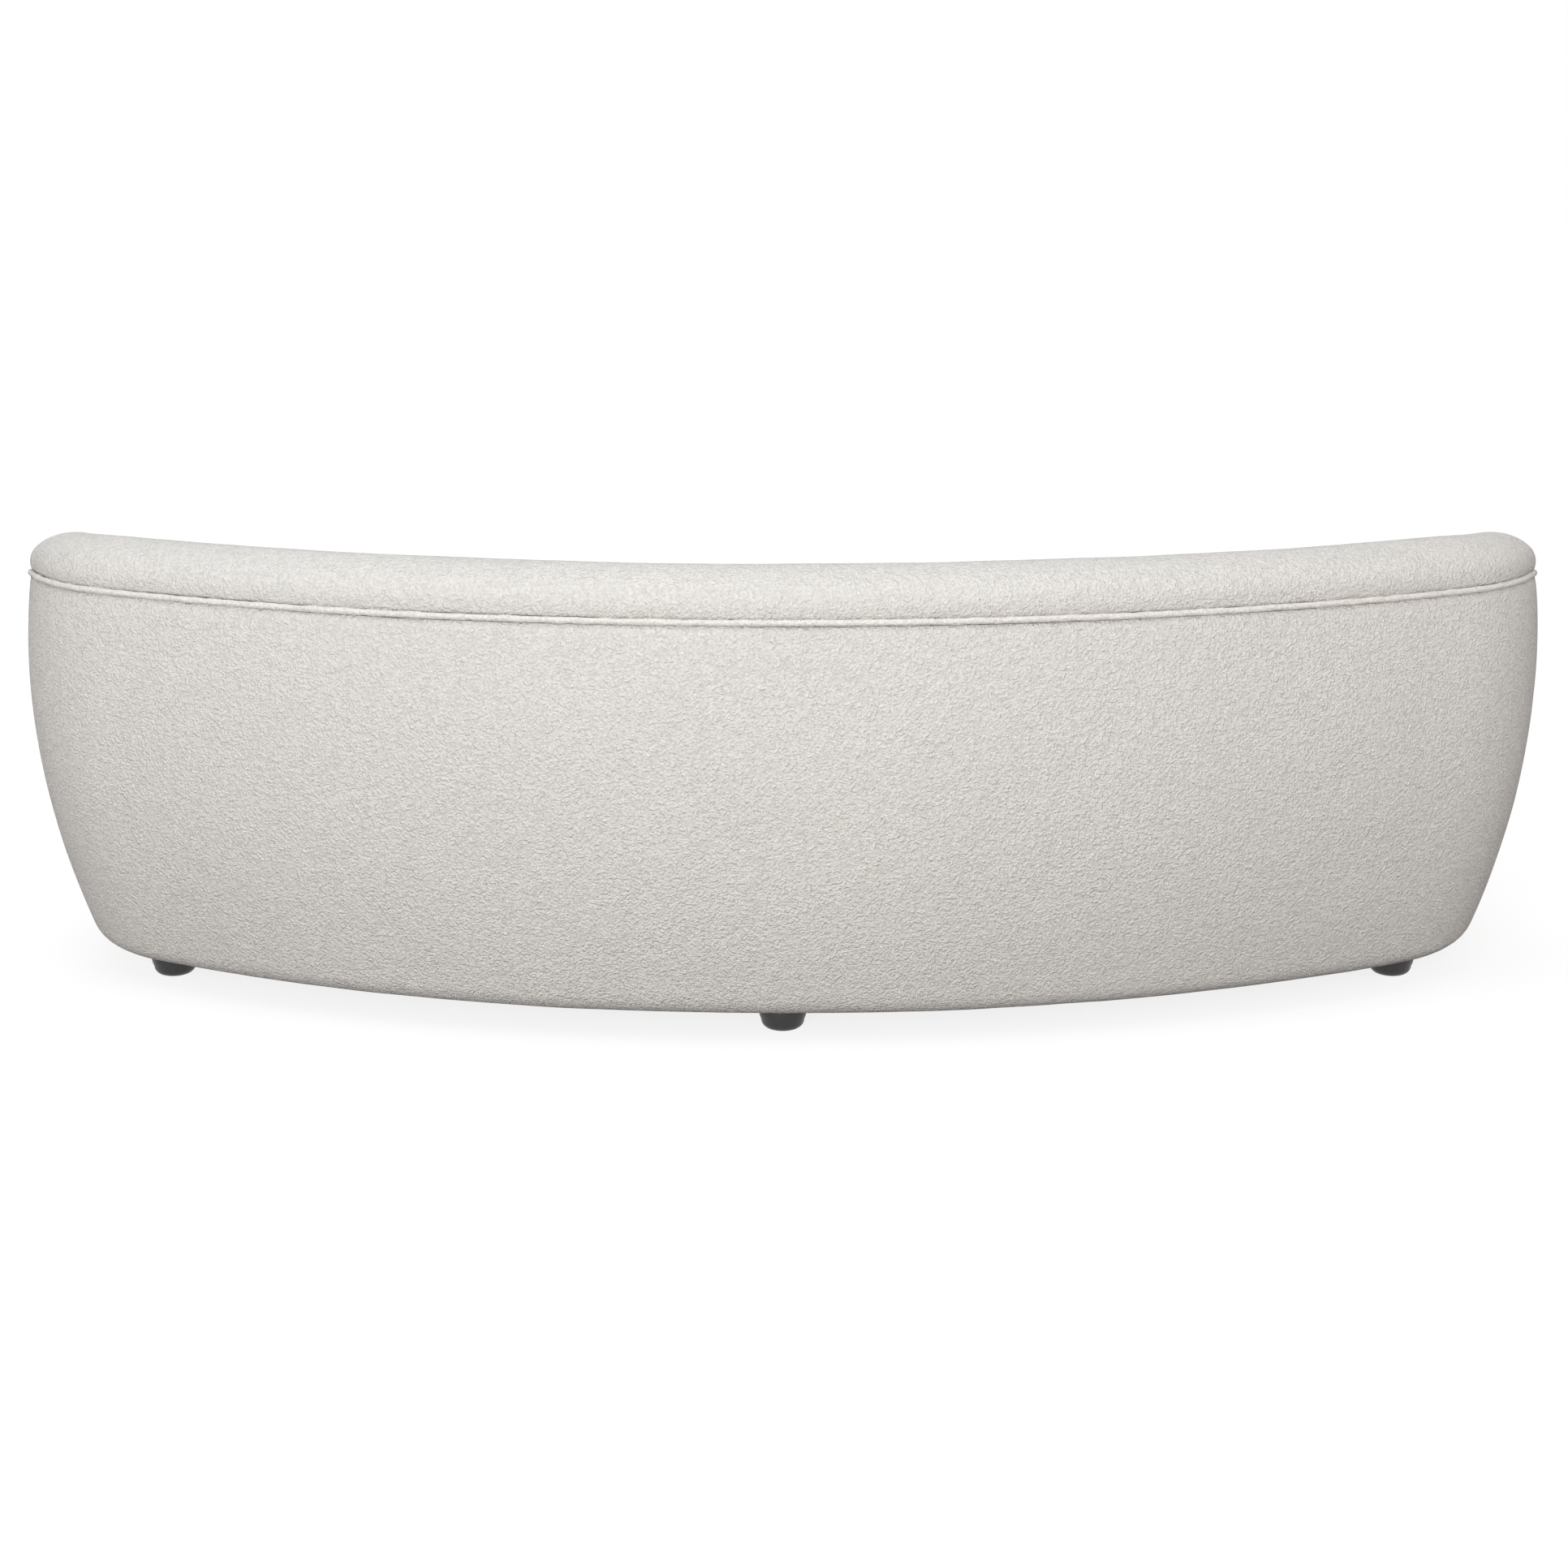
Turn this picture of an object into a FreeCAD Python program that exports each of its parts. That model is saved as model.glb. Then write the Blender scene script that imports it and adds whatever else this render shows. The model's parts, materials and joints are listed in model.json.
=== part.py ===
"""Curved three seat sofa, upholstered in looped fabric over a plywood tub frame.

Millimetres, +Z up, floor at z = 0. The sitter faces -Y and the rounded outer back faces +Y.
Everything follows one plan outline, a bean made of tangent arcs. A place on it is named by its
heading: the compass angle of its outward normal, 0 at the middle of the back, 90 at the widest
point of an arm and just over 200 where the arm's front corner meets the hollow front edge.
An offset is a distance outwards from that outline, so what lies inside has a negative one.
"""

import FreeCAD, Part

import math
import os
from dataclasses import dataclass

import Sketcher
from FreeCAD import Placement, Rotation, Vector

SIZES = {
    # plan outline, at the widest level of the outer cover
    "overall_width": 2400.0,
    "back_radius": 2170.0,
    "corner_radius": 330.0,
    "side_radius": 1200.0,
    "front_corner_radius": 200.0,
    "front_radius": 2200.0,
    "centre_depth": 870.0,
    # upright profile of the outer cover
    "equator_height": 480.0,
    "profile_radius": 1200.0,
    "base_corner_radius": 50.0,
    "ground_clearance": 40.0,
    "cover_thickness": 8.0,
    "flange_width": 40.0,
    # rim: height of its welt at the back, at the front of the arm and at the front corner
    "back_seam_height": 645.0,
    "arm_seam_height": 540.0,
    "corner_seam_height": 335.0,
    "drop_start_heading": 62.0,
    "welt_radius": 5.0,
    "welt_setback": 1.0,
    "rim_rise": 56.0,
    "rim_setback": 3.0,
    # inside faces of the back and arms, measured in from the outline
    "back_depth_low": 262.0,
    "back_depth_high": 190.0,
    "arm_depth_low": 190.0,
    "arm_depth_high": 165.0,
    "corner_depth_low": 165.0,
    "corner_depth_high": 145.0,
    # seat deck, from its cover down to the seat ring
    "deck_height": 283.0,
    "deck_cover_thickness": 2.0,
    "deck_pad_thickness": 28.0,
    "strap_thickness": 2.4,
    "strap_width": 70.0,
    "strap_pitch": 190.0,
    "ring_width": 90.0,
    "front_roll_radius": 34.0,
    # loose seat cushion
    "cushion_thickness": 150.0,
    "cushion_crown": 16.0,
    "cushion_side_gap": 20.0,
    "cushion_gap": 6.0,
    "cushion_edge_draw": 14.0,
    "cushion_corner_radius": 150.0,
    "cushion_side_radius": 600.0,
    "cushion_tip_radius": 75.0,
    "cushion_front_setback": 6.0,
    "cushion_welt_radius": 4.5,
    # frame
    "board": 18.0,
    "lining_board": 3.0,
    "rib_depth": 125.0,
    "rib_play": 2.0,
    "post_drop": 9.0,
    "base_inset": 123.0,
    "apron_thickness": 12.0,
    "joist_thickness": 22.0,
    "joist_pitch": 360.0,
    "rail_drop": 14.0,
    # feet
    "foot_top_radius": 37.0,
    "foot_base_radius": 33.0,
    "foot_edge_radius": 14.0,
    "foot_inset": 165.0,
    "rear_foot_heading": 41.0,
    "front_foot_heading": 150.0,
    "bolt_radius": 4.0,
    "bolt_sunk": 24.0,
    "nut_width": 13.0,
    "nut_height": 6.5,
    "thread_gap": 0.05,
    "dust_cover_thickness": 1.0,
    "dust_cover_inset": 132.0,
    # gaps left between pieces that touch
    "seat_gap": 0.3,
    "slip_gap": 0.5,
    "foam_gap": 0.5,
    "foam_play": 2.5,
}

doc = FreeCAD.newDocument("CurvedSofa")
sheet = doc.addObject("Spreadsheet::Sheet", "Sizes")
for row, (alias, number) in enumerate(SIZES.items(), start=1):
    sheet.set("A%d" % row, alias)
    sheet.set("B%d" % row, str(number))
    sheet.setAlias("B%d" % row, alias)
doc.recompute()


def mm(alias):
    """The number that the sheet holds under an alias."""
    return float(sheet.get(alias))


class Term:
    """A length as a number and as the formula that binds it to the sheet."""

    def __init__(self, value, text):
        self.value = value
        self.text = text

    def _with(self, other, sign, value, swap=False):
        other_text = other.text if isinstance(other, Term) else repr(float(other))
        first, second = (other_text, self.text) if swap else (self.text, other_text)
        return Term(value, "(%s %s %s)" % (first, sign, second))

    def __add__(self, other):
        return self._with(other, "+", self.value + number_of(other))

    def __radd__(self, other):
        return self._with(other, "+", number_of(other) + self.value, True)

    def __sub__(self, other):
        return self._with(other, "-", self.value - number_of(other))

    def __rsub__(self, other):
        return self._with(other, "-", number_of(other) - self.value, True)

    def __mul__(self, other):
        return self._with(other, "*", self.value * number_of(other))

    def __rmul__(self, other):
        return self._with(other, "*", number_of(other) * self.value, True)

    def __truediv__(self, other):
        return self._with(other, "/", self.value / number_of(other))

    def __neg__(self):
        return Term(-self.value, "(-1 * %s)" % self.text)


def number_of(item):
    """A plain number from a number or a term."""
    return item.value if isinstance(item, Term) else float(item)


def size(alias):
    """A sheet value as a term."""
    return Term(mm(alias), "Sizes.%s" % alias)


def root(term):
    """Square root of a term."""
    return Term(math.sqrt(term.value), "sqrt(%s)" % term.text)


# Plan outline: arcs joined at tangents, the same on both halves

def circle_meeting(first, first_radius, second, second_radius):
    """The meeting point of two circles that lies furthest to the right."""
    dx, dy = second[0] - first[0], second[1] - first[1]
    apart = math.hypot(dx, dy)
    along = (first_radius ** 2 - second_radius ** 2 + apart ** 2) / (2 * apart)
    aside = math.sqrt(first_radius ** 2 - along ** 2)
    foot = (first[0] + along * dx / apart, first[1] + along * dy / apart)
    found = [(foot[0] + side * aside * dy / apart, foot[1] - side * aside * dx / apart) for side in (1, -1)]
    return max(found)


def heading_between(start, end):
    """Compass heading, in degrees clockwise from +Y, of the way from start to end."""
    return math.degrees(math.atan2(end[0] - start[0], end[1] - start[1])) % 360.0


@dataclass
class Outline:
    """A bean: a back arc, then a corner, a side and a tip arc on each half, and a hollow front arc."""

    half: Term
    back: Term
    back_centre: Term
    corner: Term
    side: Term
    tip: Term
    front: Term
    front_centre: Term

    def inset(self, sides, front=None, tip=None):
        """The bean that lies inside this one, by one distance all round or by another at the front."""
        front = sides if front is None else front
        tip = self.tip - sides if tip is None else tip
        return Outline(self.half - sides, self.back - sides, self.back_centre, self.corner - sides,
                       self.side - sides, tip, self.front + front, self.front_centre)

    def arcs(self):
        """The right half's convex arcs as (centre, radius, first heading, last heading), and the front centre."""
        half, back, corner = self.half.value, self.back.value, self.corner.value
        side, tip, front = self.side.value, self.tip.value, self.front.value
        turn = math.asin((half - corner) / (back - corner))
        back_centre = (0.0, -self.back_centre.value)
        corner_centre = (half - corner, back_centre[1] + (back - corner) * math.cos(turn))
        side_centre = (half - side, corner_centre[1])
        front_centre = (0.0, -self.front_centre.value)
        tip_centre = circle_meeting(side_centre, side - tip, front_centre, front + tip)
        to_tip = heading_between(side_centre, tip_centre)
        to_front = heading_between(tip_centre, front_centre)
        return [
            (back_centre, back, 0.0, math.degrees(turn)),
            (corner_centre, corner, math.degrees(turn), 90.0),
            (side_centre, side, 90.0, to_tip),
            (tip_centre, tip, to_tip, to_front),
        ], front_centre


COVER_OUTLINE = Outline(
    half=size("overall_width") / 2,
    back=size("back_radius"),
    back_centre=size("back_radius"),
    corner=size("corner_radius"),
    side=size("side_radius"),
    tip=size("front_corner_radius"),
    front=size("front_radius"),
    front_centre=size("centre_depth") + size("front_radius"),
)
ARCS, FRONT_CENTRE = COVER_OUTLINE.arcs()
BACK_TURN = ARCS[0][3]
SIDE_TURN = ARCS[2][3]
LAST_HEADING = ARCS[3][3]
FRONT_TURN = LAST_HEADING - 180.0


def arc_at(heading):
    """The arc that a heading of the right half lies on."""
    for arc in ARCS:
        if heading <= arc[3] + 1e-9:
            return arc
    return ARCS[-1]


def place(heading, offset, height):
    """The point at a heading, an offset from the outline and a height. Negative headings are the left half."""
    centre, radius, _, _ = arc_at(abs(heading))
    angle = math.radians(abs(heading))
    x = centre[0] + (radius + offset) * math.sin(angle)
    y = centre[1] + (radius + offset) * math.cos(angle)
    return Vector(math.copysign(x, heading) if heading else 0.0, y, height)


def run_to(heading):
    """Length along the outline from the middle of the back to a heading."""
    total = 0.0
    for _, radius, first, last in ARCS:
        total += radius * math.radians(max(0.0, min(heading, last) - first))
    return total


RUN_DROP = run_to(mm("drop_start_heading"))
RUN_CORNER = run_to(BACK_TURN)
RUN_WIDEST = run_to(90.0)
RUN_ARM = run_to(SIDE_TURN)
RUN_END = run_to(LAST_HEADING)


def ease(share):
    """A smooth step from 0 to 1."""
    share = max(0.0, min(1.0, share))
    return share * share * (3 - 2 * share)


def seam_height(heading):
    """Height of the rim's welt: level round the back, sloping down the arm and round the front corner."""
    run = run_to(abs(heading))
    arm = ease((run - RUN_DROP) / (RUN_ARM - RUN_DROP))
    tip = max(0.0, (run - RUN_ARM) / (RUN_END - RUN_ARM)) ** 2
    back, low, end = mm("back_seam_height"), mm("arm_seam_height"), mm("corner_seam_height")
    return back - (back - low) * arm - (low - end) * tip


def seam_stretch(heading):
    """How much taller an upright section of the seam is than a square one, where the seam slopes."""
    step = 0.5
    heading = min(abs(heading), LAST_HEADING - step)
    rise = seam_height(heading + step) - seam_height(max(heading - step, 0.0))
    run = run_to(heading + step) - run_to(max(heading - step, 0.0))
    return math.sqrt(1 + (rise / run) ** 2)


def seam_room(heading):
    """Upright room that half the welt and its gap take at a heading."""
    return (mm("welt_radius") + mm("seat_gap")) * seam_stretch(heading)


def rail_height(heading):
    """Height of the underside of the top rail."""
    return seam_height(heading) - mm("rail_drop") - mm("board")


def along_wall(heading, back, arm, corner):
    """A size that changes smoothly from the back to the arm and on to the front corner."""
    run = run_to(abs(heading))
    to_arm = ease((run - RUN_CORNER) / (RUN_WIDEST - RUN_CORNER))
    to_tip = ease((run - RUN_ARM) / (RUN_END - RUN_ARM))
    return back + (arm - back) * to_arm + (corner - arm) * to_tip


# Upright profile of the outer cover, in pairs of offset and height

def profile_offset(height, inset=0.0):
    """Offset of the outer cover's face at a height, or of a face that lies inset behind it."""
    radius = mm("profile_radius")
    return -radius + math.sqrt((radius - inset) ** 2 - (height - mm("equator_height")) ** 2)


def base_corner():
    """Centre of the rounding where the cover turns under, and the angle at which it leaves the side."""
    small, large = mm("base_corner_radius"), mm("profile_radius")
    height = mm("ground_clearance") + small
    angle = math.asin((mm("equator_height") - height) / (large - small))
    return (-large + (large - small) * math.cos(angle), height), angle


CORNER_CENTRE, CORNER_ANGLE = base_corner()


def corner_point(share, inset=0.0):
    """A point on the turned under corner, from 0 at the side to 1 underneath."""
    angle = CORNER_ANGLE + share * (math.pi / 2 - CORNER_ANGLE)
    radius = mm("base_corner_radius") - inset
    return (CORNER_CENTRE[0] + radius * math.cos(angle), CORNER_CENTRE[1] - radius * math.sin(angle))


def edge_2d(kind, *points):
    """An edge of a section: a line through two points or an arc through three."""
    return (kind, points)


def polyline(points):
    """Line edges through points, in order."""
    return [edge_2d("line", a, b) for a, b in zip(points, points[1:])]


def section_wire(heading, edges):
    """A section's edges as a wire in the upright plane at a heading."""
    made = []
    for kind, points in edges:
        spots = [place(heading, offset, height) for offset, height in points]
        made.append(Part.LineSegment(*spots).toShape() if kind == "line" else Part.Arc(*spots).toShape())
    return Part.Wire(made)


WALL_STEPS = (6, 5, 3, 6)


def headings_between(first, last):
    """Headings of the sections of the right half from first to last, a number of steps to each arc."""
    wanted = [first]
    for (_, _, start, end), pieces in zip(ARCS, WALL_STEPS):
        for step in range(pieces + 1):
            heading = start + (end - start) * step / pieces
            if first + 1.0 < heading < last - 1.0 and heading - wanted[-1] > 1.0:
                wanted.append(heading)
    return wanted + [last]


def wall_headings(last):
    """Headings right round the wall, from one end on the left half to the same one on the right."""
    right = headings_between(0.0, last)
    return [-heading for heading in reversed(right[1:])] + right


def wall_loft(section, headings):
    """A solid of straight strips between the sections at the headings."""
    solid = Part.makeLoft([section_wire(heading, section(heading)) for heading in headings], True, True)
    return solid if solid.Volume > 0 else solid.reversed()


PARTS = []


def feature(label, shape):
    """A sub-part whose shape is worked out from the sheet's sizes in this script."""
    part = doc.addObject("Part::Feature", label)
    part.Label = label
    part.Shape = shape
    part.Placement = Placement()
    PARTS.append(part)
    return part


def cover_side_section(top):
    """Edges of the outer cover's flange, corner and side, outside up to a height and inside back down."""
    thick, low = mm("cover_thickness"), mm("ground_clearance")
    start, start_in = corner_point(0.0), corner_point(0.0, thick)
    middle = (start[1] + top) / 2
    flange = CORNER_CENTRE[0] - mm("flange_width")
    outside = [
        edge_2d("line", (flange, low), corner_point(1.0)),
        edge_2d("arc", corner_point(1.0), corner_point(0.5), start),
        edge_2d("arc", start, (profile_offset(middle), middle), (profile_offset(top), top)),
    ]
    inside = [
        edge_2d("arc", (profile_offset(top, thick), top), (profile_offset(middle, thick), middle), start_in),
        edge_2d("arc", start_in, corner_point(0.5, thick), corner_point(1.0, thick)),
        edge_2d("line", corner_point(1.0, thick), (flange, low + thick)),
        edge_2d("line", (flange, low + thick), (flange, low)),
    ]
    return outside, inside


def outer_cover_section(heading):
    """Fabric and its quilted backing, from the flange under the base up to the welt."""
    top = seam_height(heading) - seam_room(heading)
    outside, inside = cover_side_section(top)
    hem = edge_2d("line", (profile_offset(top), top), (profile_offset(top, mm("cover_thickness")), top))
    return outside + [hem] + inside


def outer_lining_section(heading):
    """Thin bent board behind the outer cover, nailed to the ribs."""
    skin = mm("cover_thickness") + mm("slip_gap")
    top = rail_height(heading) - mm("seat_gap")
    low = mm("ground_clearance") + mm("base_corner_radius") + mm("board")
    heights = [low, (low + top) / 2, top]
    outer = [(profile_offset(h, skin), h) for h in heights]
    inner = [(profile_offset(h, skin + mm("lining_board")), h) for h in reversed(heights)]
    return [
        edge_2d("arc", *outer),
        edge_2d("line", outer[-1], inner[0]),
        edge_2d("arc", *inner),
        edge_2d("line", inner[-1], outer[0]),
    ]


def inner_lining_section(heading):
    """Thin bent board on the inner edges of the ribs, which the foam of the inside back lies on."""
    near = -mm("rib_depth") - mm("seat_gap")
    far = near - mm("lining_board")
    low = mm("deck_height") + mm("slip_gap")
    top = rail_height(heading) - mm("seat_gap")
    return polyline([(near, low), (near, top), (far, top), (far, low), (near, low)])


def rail_section(heading):
    """Bent top rail, which lies along the tops of the ribs and under the rim's foam."""
    low = rail_height(heading)
    high = low + mm("board")
    outer = profile_offset(high, mm("cover_thickness") + mm("slip_gap"))
    inner = -mm("rib_depth") - mm("lining_board") - mm("seat_gap")
    return polyline([(outer, low), (outer, high), (inner, high), (inner, low), (outer, low)])


def tangent_arc(start, direction, end):
    """The arc from start to end that leaves in a direction, as its three points, and its last direction."""
    chord = math.atan2(end[1] - start[1], end[0] - start[0])
    half_turn = (chord - direction + math.pi) % (2 * math.pi) - math.pi
    length = math.hypot(end[0] - start[0], end[1] - start[1])
    rise = length / 2 * math.tan(half_turn / 2)
    middle = (
        (start[0] + end[0]) / 2 + rise * math.sin(chord),
        (start[1] + end[1]) / 2 - rise * math.cos(chord),
    )
    return (start, middle, end), chord + half_turn


RIM_START_ANGLE = math.radians(75.0)


def rim_arcs(heading):
    """The visible outline of the rim and the inside face, as four tangent arcs, from the welt to the deck."""
    seam = seam_height(heading)
    edge = profile_offset(seam)
    high = along_wall(heading, mm("back_depth_high"), mm("arm_depth_high"), mm("corner_depth_high"))
    low = along_wall(heading, mm("back_depth_low"), mm("arm_depth_low"), mm("corner_depth_low"))
    rise, floor = mm("rim_rise"), mm("deck_height") + mm("slip_gap")
    points = [
        (edge - mm("rim_setback"), seam + seam_room(heading)),
        (edge - rise / 4, seam + rise * 0.73),
        (edge - high / 2, seam + rise),
        (-high, floor + 0.9 * (seam - floor)),
        (-low, floor),
    ]
    arcs, direction = [], RIM_START_ANGLE
    for start, end in zip(points, points[1:]):
        arc, direction = tangent_arc(start, direction, end)
        arcs.append(arc)
    return arcs


def rim_behind(heading, inset):
    """Points that lie inset behind the rim's visible outline, from the welt to the deck."""
    arcs = rim_arcs(heading)
    path = [p for arc in arcs for p in arc[:2]] + [arcs[-1][2]]
    behind = []
    for index, (offset, height) in enumerate(path):
        before, after = path[max(index - 1, 0)], path[min(index + 1, len(path) - 1)]
        way = math.atan2(after[1] - before[1], after[0] - before[0])
        behind.append((offset - inset * math.sin(way), height + inset * math.cos(way)))
    first = (path[0][0] - inset, path[0][1])
    last = (path[-1][0] + inset, path[-1][1])
    return [first] + [(o, h) for o, h in behind[1:-1]] + [last]


def inside_cover_section(heading):
    """Fabric of the rim, inside back and inside arms, in one piece from the welt to the deck."""
    arcs = rim_arcs(heading)
    behind = rim_behind(heading, mm("cover_thickness"))
    outside = [edge_2d("arc", *arc) for arc in arcs]
    return outside + polyline([arcs[-1][2]] + behind[::-1] + [arcs[0][0]])


def wall_foam_section(heading):
    """Foam over the top rail and down the inner lining."""
    face = rim_behind(heading, mm("cover_thickness") + mm("foam_play"))[::2]
    depth = mm("rib_depth") + mm("lining_board") + mm("seat_gap") + mm("foam_gap")
    seat = rail_height(heading) + mm("board") + mm("foam_gap")
    return polyline(face + [(-depth, face[-1][1]), (-depth, seat), (face[0][0], seat), face[0]])


def welt_section(heading):
    """Welt cord in the seam, eight sided."""
    seam = seam_height(heading)
    middle = profile_offset(seam) - mm("welt_setback")
    across, up = mm("welt_radius"), mm("welt_radius") * seam_stretch(heading)
    spots = [(middle + across * math.cos(math.radians(turn)), seam + up * math.sin(math.radians(turn)))
             for turn in range(0, 360, 45)]
    return polyline(spots + spots[:1])


# Ribs, rail, linings, foam and covers of the wall

def rib_edges(heading, high):
    """Outline of a rib: curved outer edge, level foot and top, straight inner edge."""
    skin = mm("cover_thickness") + mm("slip_gap") + mm("lining_board") + mm("rib_play")
    low = RIB_FOOT.value
    middle = (low + high) / 2
    inner = -mm("rib_depth")
    return [
        edge_2d("arc", *[(profile_offset(h, skin), h) for h in (low, middle, high)]),
        edge_2d("line", (profile_offset(high, skin), high), (inner, high)),
        edge_2d("line", (inner, high), (inner, low)),
        edge_2d("line", (inner, low), (profile_offset(low, skin), low)),
    ]


def rib(label, heading, above_rail=0.0):
    """An upright plywood rib in the plane of a heading, with its top cut to the slope of the rail."""
    high = rail_height(heading) + above_rail - mm("rib_play")
    along = Vector(math.cos(math.radians(heading)), -math.sin(math.radians(heading)), 0)
    face = Part.Face(section_wire(heading, rib_edges(heading, high)))
    face.translate(along * (-mm("board") / 2))
    board = face.extrude(along * mm("board"))
    step = 1.0
    rise = rail_height(abs(heading) + step) - rail_height(abs(heading) - step)
    run = run_to(abs(heading) + step) - run_to(abs(heading) - step)
    drop = abs(rise / run) * mm("board") / 2
    if drop < 0.02:
        return feature(label, board)
    knife = Part.makeBox(4 * mm("board"), 600.0, 200.0, Vector(-2 * mm("board"), -300.0, 0.0))
    tilt = math.degrees(math.atan(rise / run)) * (-1 if heading > 0 else 1)
    knife.rotate(Vector(), Vector(0, 1, 0), tilt)
    knife.rotate(Vector(), Vector(0, 0, 1), -heading)
    knife.translate(place(heading, -mm("rib_depth") / 2, high - 0.4))
    return feature(label, board.cut(knife))


# Sketches and bodies

def new_body(label):
    """An empty body with its label."""
    body = doc.addObject("PartDesign::Body", label)
    body.Label = label
    PARTS.append(body)
    return body


def new_sketch(body, name, plane="XY_Plane", height=None):
    """A sketch on one of the body's origin planes, raised to a height."""
    sketch = body.newObject("Sketcher::SketchObject", name)
    base = [item for item in body.Origin.OriginFeatures if item.Role == plane][0]
    sketch.AttachmentSupport = (base, "")
    sketch.MapMode = "FlatFace"
    if height is not None:
        sketch.setExpression("AttachmentOffset.Base.z", height.text)
        sketch.AttachmentOffset = Placement(Vector(0, 0, height.value), Rotation())
    return sketch


def bound(sketch, name, term, *where):
    """A dimension of the sketch, named and bound to its formula."""
    kind, places = where[0], where[1:]
    index = sketch.addConstraint(Sketcher.Constraint(kind, *places, term.value))
    sketch.renameConstraint(index, name)
    sketch.setExpression("Constraints.%s" % name, term.text)


def draw_bean(sketch, outline, tag):
    """The eight arcs of a bean outline, fully constrained."""
    arcs, front_centre = outline.arcs()
    first = sketch.GeometryCount

    def add(centre, radius, start, end):
        circle = Part.Circle(Vector(centre[0], centre[1], 0), Vector(0, 0, 1), radius)
        return sketch.addGeometry(Part.ArcOfCircle(circle, math.radians(start), math.radians(end)), False)

    (back_c, back_r, _, turn), (corner_c, corner_r, _, _), (side_c, side_r, _, to_tip), (tip_c, tip_r, _, last) = arcs
    back = add(back_c, back_r, 90 - turn, 90 + turn)
    corners = [add(corner_c, corner_r, 0, 90 - turn), add((-corner_c[0], corner_c[1]), corner_r, 90 + turn, 180)]
    sides = [add(side_c, side_r, 90 - to_tip, 0), add((-side_c[0], side_c[1]), side_r, 180, 90 + to_tip)]
    tips = [add(tip_c, tip_r, 90 - last, 90 - to_tip), add((-tip_c[0], tip_c[1]), tip_r, 90 + to_tip, 90 + last)]
    front = add(front_centre, outline.front.value, 270 - last, last - 90)
    ends = [
        (back, 1, corners[0], 2), (corners[0], 1, sides[0], 2), (sides[0], 1, tips[0], 2), (tips[0], 1, front, 1),
        (back, 2, corners[1], 1), (corners[1], 2, sides[1], 1), (sides[1], 2, tips[1], 1), (tips[1], 2, front, 2),
    ]
    for place_pair in ends:
        sketch.addConstraint(Sketcher.Constraint("Tangent", *place_pair))
    lengths = [("back", back, outline.back), ("front", front, outline.front)]
    for side, name in ((0, "right"), (1, "left")):
        lengths.append(("corner_" + name, corners[side], outline.corner))
        lengths.append(("side_" + name, sides[side], outline.side))
        lengths.append(("tip_" + name, tips[side], outline.tip))
        sketch.addConstraint(Sketcher.Constraint("Horizontal", corners[side], 3, sides[side], 3))
    for name, arc, term in lengths:
        bound(sketch, "%s_%s_radius" % (tag, name), term, "Radius", arc)
    for name, arc, term in (("back", back, outline.back_centre), ("front", front, outline.front_centre)):
        sketch.addConstraint(Sketcher.Constraint("PointOnObject", arc, 3, -2))
        bound(sketch, "%s_%s_centre" % (tag, name), term, "DistanceY", arc, 3, -1, 1)
    reach = outline.half - outline.corner
    bound(sketch, tag + "_corner_right_x", reach, "DistanceX", -1, 1, corners[0], 3)
    bound(sketch, tag + "_corner_left_x", reach, "DistanceX", corners[1], 3, -1, 1)
    return first


def draw_polygon(sketch, points):
    """A closed polygon whose corners are pairs of terms or numbers, each bound where it is off an axis."""
    spots = [Vector(number_of(x), number_of(y), 0) for x, y in points]
    for start, end in zip(spots, spots[1:] + spots[:1]):
        sketch.addGeometry(Part.LineSegment(start, end), False)
    count = len(spots)
    for index in range(count):
        sketch.addConstraint(Sketcher.Constraint("Coincident", index, 2, (index + 1) % count, 1))
    for index, corner in enumerate(points):
        for axis, kind, line in ((0, "DistanceX", -2), (1, "DistanceY", -1)):
            value = corner[axis]
            if not isinstance(value, Term):
                sketch.addConstraint(Sketcher.Constraint("PointOnObject", index, 1, line))
            elif value.value > 0:
                bound(sketch, "corner%d_%s" % (index, kind), value, kind, -1, 1, index, 1)
            else:
                bound(sketch, "corner%d_%s" % (index, kind), -value, kind, index, 1, -1, 1)


def draw_circle(sketch, name, centre, radius):
    """A circle whose centre is a pair of terms, both off the axes unless they are the number 0."""
    spot = Vector(number_of(centre[0]), number_of(centre[1]), 0)
    index = sketch.addGeometry(Part.Circle(spot, Vector(0, 0, 1), radius.value), False)
    bound(sketch, name + "_radius", radius, "Radius", index)
    for value, kind, line in ((centre[0], "DistanceX", -2), (centre[1], "DistanceY", -1)):
        if not isinstance(value, Term):
            sketch.addConstraint(Sketcher.Constraint("PointOnObject", index, 3, line))
        elif value.value > 0:
            bound(sketch, "%s_%s" % (name, kind), value, kind, -1, 1, index, 3)
        else:
            bound(sketch, "%s_%s" % (name, kind), -value, kind, index, 3, -1, 1)


def pad(body, sketch, length):
    """Extrude a sketch upwards."""
    grown = body.newObject("PartDesign::Pad", sketch.Name + "Pad")
    grown.Profile = sketch
    grown.setExpression("Length", length.text)
    grown.Length = length.value
    sketch.Visibility = False
    doc.recompute()
    return grown


def pocket_through(body, sketch):
    """Cut a sketch right through the body, both ways."""
    cut = body.newObject("PartDesign::Pocket", sketch.Name + "Cut")
    cut.Profile = sketch
    cut.Type = "ThroughAll"
    cut.Midplane = True
    doc.recompute()
    return cut


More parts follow.
